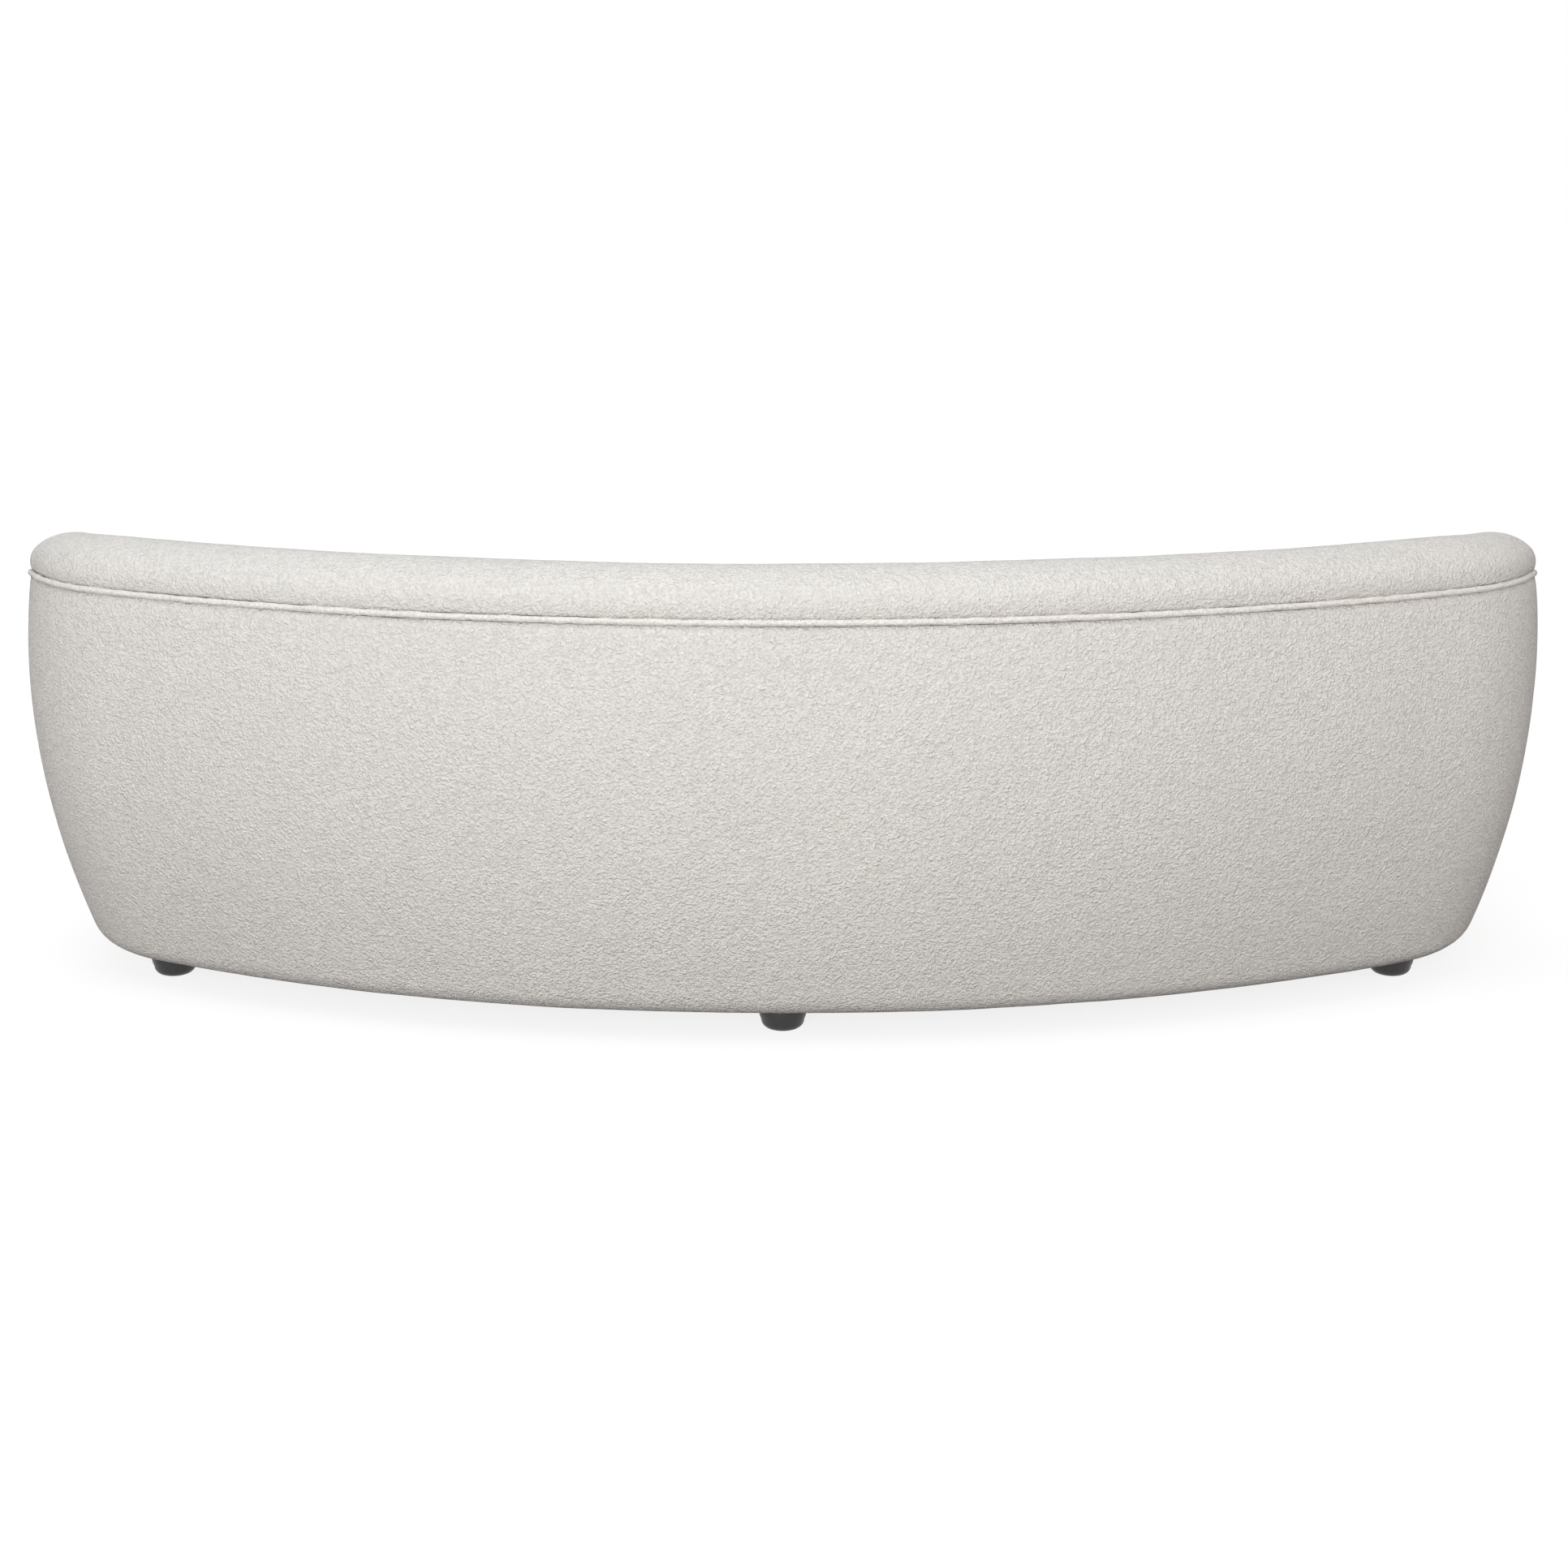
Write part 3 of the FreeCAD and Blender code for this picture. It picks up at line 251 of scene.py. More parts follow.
@dataclass(frozen=True)
class Plywood:
    """Birch plywood: long pale grain on the faces and fine dark plies along Z."""

    name: str

    def material(self) -> bpy.types.Material:
        """Build the plywood's material."""
        board = NodeBoard(self.name)
        figure = board.noise(5.0, 6.0, 0.6, board.stretched((1.0, 9.0, 9.0)))
        pores = board.noise(60.0, 3.0, 0.6, board.stretched((1.0, 12.0, 12.0)))
        colour = board.mixed(figure, (0.46, 0.31, 0.17, 1.0), (0.78, 0.62, 0.42, 1.0))
        dark = board.mixed((pores - 0.5) * 1.4 + 0.5, (0.86, 0.82, 0.76, 1.0), (1.0, 1.0, 1.0, 1.0))
        both = board.mixed(1.0, colour, dark, "MULTIPLY")
        return board.finish(Base_Color=both, Roughness=figure * 0.15 + 0.55,
                            Normal=board.bump(pores, 0.0004, 0.6))


@dataclass(frozen=True)
class Zinc:
    """Zinc plated steel with the soft spangle of fasteners."""

    name: str

    def material(self) -> bpy.types.Material:
        """Build the plated steel's material."""
        board = NodeBoard(self.name)
        spangle = board.noise(420.0, 3.0)
        colour = board.mixed(spangle, (0.46, 0.47, 0.49, 1.0), (0.66, 0.66, 0.65, 1.0))
        return board.finish(Base_Color=colour, Metallic=1.0, Roughness=spangle * 0.2 + 0.25,
                            Normal=board.bump(spangle, 0.0001, 0.4))


@dataclass(frozen=True)
class Foam:
    """Pale cut foam with open cells."""

    name: str

    def material(self) -> bpy.types.Material:
        """Build the foam's material."""
        board = NodeBoard(self.name)
        cells = board.curls(520.0, board.place)
        colour = board.mixed(cells, (0.60, 0.55, 0.40, 1.0), (0.88, 0.84, 0.70, 1.0))
        return board.finish(Base_Color=colour, Roughness=0.95, Normal=board.bump(cells, 0.0012))


@dataclass(frozen=True)
class Cloth:
    """A plain woven or felted cloth, thread by thread along X and Y."""

    name: str
    dark: tuple[float, float, float]
    light: tuple[float, float, float]
    threads: float
    depth: float = 0.0005

    def material(self) -> bpy.types.Material:
        """Build the cloth's material."""
        board = NodeBoard(self.name)
        rows = []
        for direction in ("X", "Y"):
            settings = {"wave_type": "BANDS", "bands_direction": direction}
            sockets = {"Vector": board.place, "Scale": self.threads, "Distortion": 0.6,
                       "Detail": 1.0}
            wave = board.add("ShaderNodeTexWave", settings, sockets)
            rows.append(Number(board, wave.outputs["Fac"]))
        weave = rows[0] * 0.5 + rows[1] * 0.5
        fluff = board.noise(600.0, 3.0)
        share = (weave * 0.6 + fluff * 0.4).clamped()
        colour = board.mixed(share, (*self.dark, 1.0), (*self.light, 1.0))
        return board.finish(Base_Color=colour, Roughness=fluff * 0.1 + 0.85,
                            Normal=board.bump(weave + fluff * 0.4, self.depth))


class Finish(Enum):
    """The sofa's finishes, each with the maker of its material."""

    BOUCLE = Boucle("boucle_cover")
    CUSHION = Boucle("boucle_cushion", curl=146.0)
    # The welts' colours are painted darker than the cover's, as painted shade in the seams around the
    # cords.
    WELT = Boucle("boucle_welt", light=(0.80, 0.775, 0.745), shade=(0.58, 0.555, 0.53),
                  curl=190.0, depth=0.0026)
    FOOT = BlackWood("black_wood")
    PLYWOOD = Plywood("birch_plywood")
    ZINC = Zinc("zinc_steel")
    FOAM = Foam("cut_foam")
    DUST = Cloth("dust_cloth", (0.012, 0.012, 0.014), (0.05, 0.05, 0.055), 260.0)
    DECK = Cloth("deck_cloth", (0.50, 0.48, 0.45), (0.78, 0.76, 0.72), 220.0)
    WEBBING = Cloth("webbing", (0.05, 0.045, 0.04), (0.22, 0.20, 0.18), 130.0, 0.001)


class Wardrobe:
    """Keeps one material for each finish and puts it on pieces."""

    def __init__(self) -> None:
        """Start with no material made."""
        self.made: dict[Finish, bpy.types.Material] = {}

    def dress(self, piece: bpy.types.Object, finish: Finish) -> None:
        """Give a piece one finish all over."""
        if finish not in self.made:
            self.made[finish] = finish.value.material()
        piece.data.materials.clear()
        piece.data.materials.append(self.made[finish])


# Plan and upright sections of the wall


@dataclass(frozen=True)
class Arc:
    """An arc of an outline: centre, radius, first and last heading in radians clockwise from +Y."""

    x: float
    y: float
    radius: float
    first: float
    last: float

    @property
    def length(self) -> float:
        """Length along the arc."""
        return self.radius * (self.last - self.first)


@dataclass(frozen=True)
class Bean:
    """A bean outline in plan: back, corner, side and tip arcs on each half, and a hollow front."""

    half: float = 1.2
    back: float = 2.17
    back_centre: float = 2.17
    corner: float = 0.33
    side: float = 1.2
    tip: float = 0.2
    front: float = 2.2
    front_centre: float = 3.07
    middle: float = 0.5327

    def arcs(self) -> list[Arc]:
        """The right half's convex arcs, from the middle of the back to the hollow front."""
        turn = math.asin((self.half - self.corner) / (self.back - self.corner))
        corner_y = (self.back - self.corner) * math.cos(turn) - self.back_centre
        side_x, reach, swing = self.half - self.side, self.side - self.tip, self.front + self.tip
        fall = -self.front_centre - corner_y
        apart = math.hypot(side_x, fall)
        along = (reach ** 2 - swing ** 2 + apart ** 2) / (2 * apart)
        aside = math.sqrt(reach ** 2 - along ** 2)
        way = (-side_x / apart, fall / apart)
        spots = [(side_x + along * way[0] + sign * aside * way[1],
                  corner_y + along * way[1] - sign * aside * way[0]) for sign in (1, -1)]
        tip_x, tip_y = max(spots)
        to_tip = math.atan2(tip_x - side_x, tip_y - corner_y)
        to_front = math.pi + math.atan2(tip_x, tip_y + self.front_centre)
        shift = self.middle
        return [
            Arc(0.0, shift - self.back_centre, self.back, 0.0, turn),
            Arc(self.half - self.corner, shift + corner_y, self.corner, turn, math.pi / 2),
            Arc(side_x, shift + corner_y, self.side, math.pi / 2, to_tip),
            Arc(tip_x, shift + tip_y, self.tip, to_tip, to_front),
        ]


class Track:
    """An outline walked by its length from the middle of the back, negative on the left half."""

    def __init__(self, bean: Bean) -> None:
        """Work out the arcs of a bean."""
        self.bean = bean
        self.arcs = bean.arcs()
        self.ends = [sum(arc.length for arc in self.arcs[:count]) for count in range(1, 5)]
        self.length = self.ends[-1]

    def heading(self, run: float) -> tuple[Arc, float]:
        """The arc at a length and the heading on it."""
        start, run = 0.0, abs(run)
        for arc, end in zip(self.arcs, self.ends):
            if run <= end + 1e-9:
                return arc, arc.first + (run - start) / arc.radius
            start = end
        return self.arcs[-1], self.arcs[-1].last

    def spot(self, run: float, offset: float, height: float) -> Vector:
        """The point at a length, an offset outwards and a height."""
        arc, heading = self.heading(run)
        x = arc.x + (arc.radius + offset) * math.sin(heading)
        y = arc.y + (arc.radius + offset) * math.cos(heading)
        return Vector((math.copysign(x, run) if run else x, y, height))

    def runs(self, first: float, last: float, pitch: float) -> list[float]:
        """Lengths from first to last at about a pitch."""
        count = max(2, round(abs(last - first) / pitch))
        return [first + (last - first) * step / count for step in range(count + 1)]

    def loop(self, pitch: float) -> list[Vector]:
        """Points round the outline at a pitch, clockwise from the middle of the back, at height 0."""
        half = [self.spot(run, 0.0, 0.0) for run in self.runs(0.0, self.length, pitch)]
        front_y = self.bean.middle - self.bean.front_centre
        turn = math.atan2(half[-1].x, half[-1].y - front_y)
        count = max(2, round(2 * turn * self.bean.front / pitch))
        hollow = []
        for step in range(1, count):
            angle = turn - 2 * turn * step / count
            y = front_y + self.bean.front * math.cos(angle)
            hollow.append(Vector((self.bean.front * math.sin(angle), y, 0.0)))
        left = [Vector((-spot.x, spot.y, 0.0)) for spot in reversed(half[1:])]
        return half + hollow + left


def ease(share: float) -> float:
    """A smooth step from 0 to 1."""
    share = max(0.0, min(1.0, share))
    return share * share * (3 - 2 * share)


def tangent_arc(start: Pair, direction: float, end: Pair, pieces: int) -> tuple[list[Pair], float]:
    """Walk the arc that leaves start in a direction and reaches end.

    Args:
        start: Its first point.
        direction: The direction that it leaves in, in radians.
        end: Its last point.
        pieces: How many steps it is walked in.

    Returns:
        The points after the first, and the last direction.
    """
    chord = math.atan2(end[1] - start[1], end[0] - start[0])
    half_turn = (chord - direction + math.pi) % (2 * math.pi) - math.pi
    length = math.hypot(end[0] - start[0], end[1] - start[1])
    points = []
    for step in range(1, pieces + 1):
        share = step / pieces
        angle = direction + half_turn * share
        reach = length * share
        if abs(half_turn) >= 1e-6:
            reach = length * math.sin(half_turn * share) / math.sin(half_turn)
        points.append((start[0] + reach * math.cos(angle), start[1] + reach * math.sin(angle)))
    return points, chord + half_turn


@dataclass
class Wall:
    """Sizes of the wall's upright sections, and the sections at any length along the outline."""

    track: Track = field(default_factory=lambda: Track(Bean()))
    equator: float = 0.48
    belly: float = 1.2
    clearance: float = 0.04
    corner: float = 0.05
    flange: float = 0.04
    thick: float = 0.008
    back_seam: float = 0.649
    arm_seam: float = 0.54
    tip_seam: float = 0.335
    drop_heading: float = math.radians(62.0)
    rise: float = 0.056
    swell: float = 0.012
    lift: float = 0.004
    setback: float = 0.002
    deck: float = 0.283
    welt: float = 0.0053

    def run_of(self, heading: float) -> float:
        """Length along the outline to a heading in radians."""
        arcs = self.track.arcs
        return sum(arc.radius * max(0.0, min(heading, arc.last) - arc.first) for arc in arcs)

    def seam(self, run: float) -> float:
        """Height of the welt."""
        run = abs(run)
        start, arm, end = self.run_of(self.drop_heading), self.track.ends[2], self.track.length
        fall = ease((run - start) / (arm - start))
        tip = max(0.0, (run - arm) / (end - arm)) ** 2
        arm = self.back_seam - (self.back_seam - self.arm_seam) * fall
        return arm - (self.arm_seam - self.tip_seam) * tip

    def room(self, run: float) -> float:
        """Upright room that half the welt takes where the seam slopes."""
        step = 0.004
        run = min(abs(run), self.track.length - step)
        slope = (self.seam(run + step) - self.seam(max(run - step, 0.0))) / (2 * step)
        return self.welt * math.sqrt(1 + slope * slope)

    def depth(self, run: float, back: float, arm: float, tip: float) -> float:
        """A depth that changes smoothly from the back to the arm and on to the front corner."""
        run, ends = abs(run), self.track.ends
        to_arm = ease((run - ends[0]) / (ends[1] - ends[0]))
        to_tip = ease((run - ends[2]) / (ends[3] - ends[2]))
        return back + (arm - back) * to_arm + (tip - arm) * to_tip

    def offset(self, height: float) -> float:
        """Offset of the outer face at a height."""
        return math.sqrt(self.belly ** 2 - (height - self.equator) ** 2) - self.belly

    def underside(self, pieces: int) -> list[Pair]:
        """The flange under the base and the rounding up to the side, as offsets and heights."""
        height, reach = self.clearance + self.corner, self.belly - self.corner
        angle = math.asin((self.equator - height) / reach)
        centre = (reach * math.cos(angle) - self.belly, height)
        turns = [-math.pi / 2 + (math.pi / 2 - angle) * step / pieces for step in range(pieces + 1)]
        bend = [(centre[0] + self.corner * math.cos(turn),
                 centre[1] + self.corner * math.sin(turn)) for turn in turns]
        return [(centre[0] - self.flange * share, self.clearance) for share in (1.0, 0.5)] + bend

    def outer_face(self, top: float, pieces: int) -> list[Pair]:
        """The outer face from the flange up to a height."""
        low = self.underside(8)
        start = low[-1][1]
        heights = [start + (top - start) * step / pieces for step in range(1, pieces + 1)]
        return low + [(self.offset(height), height) for height in heights]

    def rim_face(self, run: float, pieces: Sequence[int]) -> list[Pair]:
        """The rim and the inside face, from the welt to the deck, as offsets and heights."""
        lift = self.lift * (self.seam(run) - self.arm_seam) / (self.back_seam - self.arm_seam)
        lift, swell = max(0.0, lift), self.depth(run, self.swell, 0.0, 0.0)
        seam = self.seam(run) - lift
        edge = self.offset(seam)
        high = self.depth(run, 0.19, 0.165, 0.145)
        low = self.depth(run, 0.262, 0.19, 0.165)
        floor = self.deck + 0.0005
        stations = [
            (edge - self.setback, seam + self.room(run)),
            (edge - self.rise / 4, seam + self.rise * 0.73),
            (edge - high / 2, seam + self.rise),
            (-high, floor + 0.9 * (seam - floor)),
            (-low, floor),
        ]
        points, direction = [stations[0]], math.radians(75.0)
        for start, end, count in zip(stations, stations[1:], pieces):
            more, direction = tangent_arc(start, direction, end, count)
            points += more
        return self.raised(points, pieces[0] + pieces[1], lift, swell)

    def raised(self, points: list[Pair], top: int, lift: float, swell: float) -> list[Pair]:
        """Lift the rim of a section, and leave the inside face below it alone.

        Args:
            points: Offsets and heights from the welt over the rim to the deck.
            top: Number of the point on top of the rim.
            lift: How far the point at the welt rises.
            swell: How much further the top rises.

        Returns:
            The points with the rim lifted.
        """
        high, reach = points[top][1], 0.15
        found = []
        for index, (offset, height) in enumerate(points):
            if index <= top:
                more = lift + swell * ease((height - points[0][1]) / (high - points[0][1]))
            else:
                more = (lift + swell) * ease((height - high + reach) / reach)
            found.append((offset, height + more))
        return found


# Mesh work


class Workshop:
    """Makes meshes and finishes them with operators and modifiers."""

    def clear(self) -> None:
        """Deselect everything, in object mode."""
        if bpy.context.object and bpy.context.object.mode != "OBJECT":
            bpy.ops.object.mode_set(mode="OBJECT")
        bpy.ops.object.select_all(action="DESELECT")

    def take(self, piece: bpy.types.Object) -> None:
        """Make a piece the only selected one, and the active one."""
        self.clear()
        piece.select_set(True)
        bpy.context.view_layer.objects.active = piece

    def from_rings(self, name: str, rings: Sequence[Sequence[Vector]],
                   closed: bool = False) -> bpy.types.Object:
        """Join rings of points, each a closed section, into one skin.

        Args:
            name: Name of the piece.
            rings: Sections with one number of points each.
            closed: Whether the last ring joins the first, or both ends are capped.

        Returns:
            The piece.
        """
        form = bmesh.new()
        rows = [[form.verts.new(spot) for spot in ring] for ring in rings]
        pairs = list(zip(rows, rows[1:])) + ([(rows[-1], rows[0])] if closed else [])
        for one, two in pairs:
            for index in range(len(one)):
                after = (index + 1) % len(one)
                form.faces.new((one[index], one[after], two[after], two[index]))
        if not closed:
            form.faces.new(rows[0][::-1])
            form.faces.new(rows[-1])
        bmesh.ops.recalc_face_normals(form, faces=form.faces)
        return self.piece(name, form)

    def piece(self, name: str, form: bmesh.types.BMesh) -> bpy.types.Object:
        """Turn a mesh in work into a smooth shaded object at the origin."""
        mesh = bpy.data.meshes.new(name)
        form.to_mesh(mesh)
        form.free()
        made = bpy.data.objects.new(name, mesh)
        bpy.context.scene.collection.objects.link(made)
        mesh.polygons.foreach_set("use_smooth", [True] * len(mesh.polygons))
        return made

    def apply(self, piece: bpy.types.Object, kind: str, **settings: Any) -> None:
        """Add a modifier with its settings and apply it."""
        self.take(piece)
        made = piece.modifiers.new(kind.title(), kind)
        for key, value in settings.items():
            setattr(made, key, value)
        bpy.ops.object.modifier_apply(modifier=made.name)

    def shift(self, piece: bpy.types.Object, way: Callable[[Vector, Vector], Vector]) -> None:
        """Move each point of a piece by an amount worked out from its place and normal."""
        moves = [way(corner.co, corner.normal) for corner in piece.data.vertices]
        for corner, move in zip(piece.data.vertices, moves):
            corner.co += move
        piece.data.update()


SHOP = Workshop()


def hand_of_cloth(reach: float, size: float, seed: float) -> Callable[[Vector, Vector], Vector]:
    """Soft swells over a padded face.

    Args:
        reach: How far they stand proud or sink, in metres.
        size: How far apart they are, in metres.
        seed: A number that makes them differ from piece to piece.

    Returns:
        The move at a place with a normal.
    """
    def way(place: Vector, normal: Vector) -> Vector:
        """Move along the normal."""
        return normal * (reach * noise.noise(place / size + Vector((seed, seed, seed))))
    return way


# The sofa's parts

# Points from the welt to the rim's shoulder, its top, the straight inside face and the deck.
RIM_STEPS = (8, 12, 14, 26)


@dataclass
class Covers:
    """The outer cover, the rim with the inside face, the front band, and the welt between them."""

    wall: Wall
    wardrobe: Wardrobe
    pitch: float = 0.009
    welt_radius: float = 0.005
    pull_reach: float = 0.013
    pull_in: float = 0.0016
    pucker: float = 0.0013

    def outer(self) -> bpy.types.Object:
        """The outer cover, from the flange under the base to the welt, with its turned edges."""
        wall, rings = self.wall, []
        for run in wall.track.runs(-wall.track.length, wall.track.length, self.pitch):
            top = wall.seam(run) - wall.room(run)
            face = self.pulled(run, wall.outer_face(top, 52), (wall.offset(top), top))
            inner = wall.outer_face(top, 6)[:9:-1]
            behind = [(offset - wall.thick, height) for offset, height in inner]
            tuck = [(offset - wall.thick, height + wall.thick)
                    for offset, height in (face[2], face[0])]
            rings.append([wall.track.spot(run, *pair) for pair in face + behind + tuck])
        made = SHOP.from_rings("outer_back_cover", rings)
        self.puff(made, 0.0016, 3.1)
        return self.done(made, "outer_cover", Finish.BOUCLE)

    def puff(self, piece: bpy.types.Object, reach: float, seed: float) -> None:
        """Give a cover broad soft swells and finer uneven padding."""
        SHOP.shift(piece, hand_of_cloth(reach, 0.23, seed))
        SHOP.shift(piece, hand_of_cloth(reach * 0.22, 0.06, seed + 5.0))

    def pulled(self, run: float, face: list[Pair], seam: Pair) -> list[Pair]:
        """Draw a face in beside a seam, a little more at some stitches than at others.

        Args:
            run: Length along the outline, which says where the small puckers lie.
            face: Offsets and heights of the face.
            seam: Offset and height of the seam.

        Returns:
            The face with the points near the seam drawn in.
        """
        found = []
        for offset, height in face:
            gap = math.hypot(offset - seam[0], height - seam[1])
            uneven = self.pucker * noise.noise(Vector((run / 0.026, seam[1], gap / 0.05)))
            pull = math.exp(-gap / self.pull_reach) * (self.pull_in + uneven)
            found.append((offset - pull, height))
        return found

    def inside(self) -> bpy.types.Object:
        """The rim, the inside back and the inside arms in one padded piece."""
        wall, rings = self.wall, []
        top, hip = sum(RIM_STEPS[:2]), sum(RIM_STEPS[:3])
        for run in wall.track.runs(-wall.track.length, wall.track.length, self.pitch):
            face = wall.rim_face(run, RIM_STEPS)
            face = self.pulled(run, face, face[0])
            last = face[-1]
            back = [(last[0] + 0.03, last[1]), (last[0] + 0.05, last[1] + 0.12),
                    (face[hip][0] + 0.05, face[hip][1] - 0.03),
                    (face[top][0], face[top][1] - 0.03), (face[0][0] - 0.02, face[0][1])]
            rings.append([wall.track.spot(run, *pair) for pair in face + back])
        rings = self.arm_end(-1.0)[::-1] + rings + self.arm_end(1.0)
        made = SHOP.from_rings("rim_and_inside_cover", rings)
        self.puff(made, 0.0022, 8.4)
        return self.done(made, "inside_cover", Finish.BOUCLE)

    def arm_end(self, side: float) -> list[list[Vector]]:
        """Rings that close an arm's end beside the seat with a soft flat face.

        Args:
            side: 1 for the right arm and -1 for the left.

        Returns:
            Rings over the arm's whole section, growing smaller and standing a little further out.
        """
        wall = self.wall
        run = side * wall.track.length
        face = wall.rim_face(run, RIM_STEPS)
        face = self.pulled(run, face, face[0])
        foot, top, floor = 0.236, face[0], face[-1]
        middle = (foot + top[1]) / 2
        back = [(floor[0] + 0.04, floor[1]), (floor[0] + 0.06, foot),
                (wall.offset(foot) - wall.thick, foot),
                (wall.offset(middle) - wall.thick, middle), (top[0] - 0.006, top[1])]
        whole = [wall.track.spot(run, *pair) for pair in face + back]
        centre = sum(whole, Vector()) / len(whole)
        turn = wall.track.arcs[3].last
        way = Vector((side * math.cos(turn), -math.sin(turn), 0.0))
        steps = ((1.0, 0.0004), (0.985, 0.002), (0.92, 0.0032), (0.6, 0.004), (0.25, 0.0042))
        return [[centre.lerp(spot, share) + way * out for spot in whole] for share, out in steps]

    def front(self) -> bpy.types.Object:
        """The front band between the arms, rolled over onto the deck."""
        wall, bean = self.wall, self.wall.track.bean
        centre_y = bean.middle - bean.front_centre
        turn = wall.track.arcs[3].last - math.pi
        roll, rings = 0.034, []
        shoulder = wall.deck - roll
        edge = wall.offset(shoulder)
        bend = [(edge - roll + roll * math.cos(a), shoulder + roll * math.sin(a))
                for a in (math.pi / 2 * step / 9 for step in range(1, 10))]
        face = wall.outer_face(shoulder, 24) + bend + [(-0.09, wall.deck), (-0.125, wall.deck)]
        behind = [(-0.125, wall.deck - wall.thick), (edge - roll, wall.deck - wall.thick),
                  (edge - 0.016, shoulder), (face[12][0] - wall.thick, face[12][1]),
                  (face[0][0], face[0][1] + wall.thick)]
        count = round(2 * turn * bean.front / self.pitch)
        for step in range(count + 1):
            angle = -turn + 2 * turn * step / count
            ring = []
            for offset, height in face + behind:
                reach = bean.front - offset
                y = centre_y + reach * math.cos(angle)
                ring.append(Vector((reach * math.sin(angle), y, height)))
            rings.append(ring)
        made = SHOP.from_rings("front_band_cover", rings)
        self.puff(made, 0.002, 12.6)
        return self.done(made, "front_cover", Finish.BOUCLE)

    def welt(self) -> bpy.types.Object:
        """The covered cord in the seam between rim and outer cover."""
        wall, rings = self.wall, []
        for run in wall.track.runs(-wall.track.length, wall.track.length, 0.008):
            seam = wall.seam(run)
            middle = wall.offset(seam) - 0.002
            stretch = wall.room(run) / wall.welt
            turns = [2 * math.pi * step / 14 for step in range(14)]
            ring = [(middle + self.welt_radius * math.cos(turn),
                     seam + self.welt_radius * stretch * math.sin(turn)) for turn in turns]
            rings.append([wall.track.spot(run, *pair) for pair in ring])
        made = SHOP.from_rings("rim_welt", rings)
        SHOP.shift(made, hand_of_cloth(0.0012, 0.014, 2.0))
        # The welt's finish is painted darker, as painted shade in the seam.
        return self.done(made, "welt_cord", Finish.WELT)

    def done(self, piece: bpy.types.Object, node: str, finish: Finish) -> bpy.types.Object:
        """Dress a cover, tie it to the frame, and let it stand for its node."""
        self.wardrobe.dress(piece, finish)
        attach(piece, "frame")
        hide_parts(node)
        return piece

    def build(self) -> list[bpy.types.Object]:
        """Make all the covers."""
        return [self.outer(), self.inside(), self.front(), self.welt()]


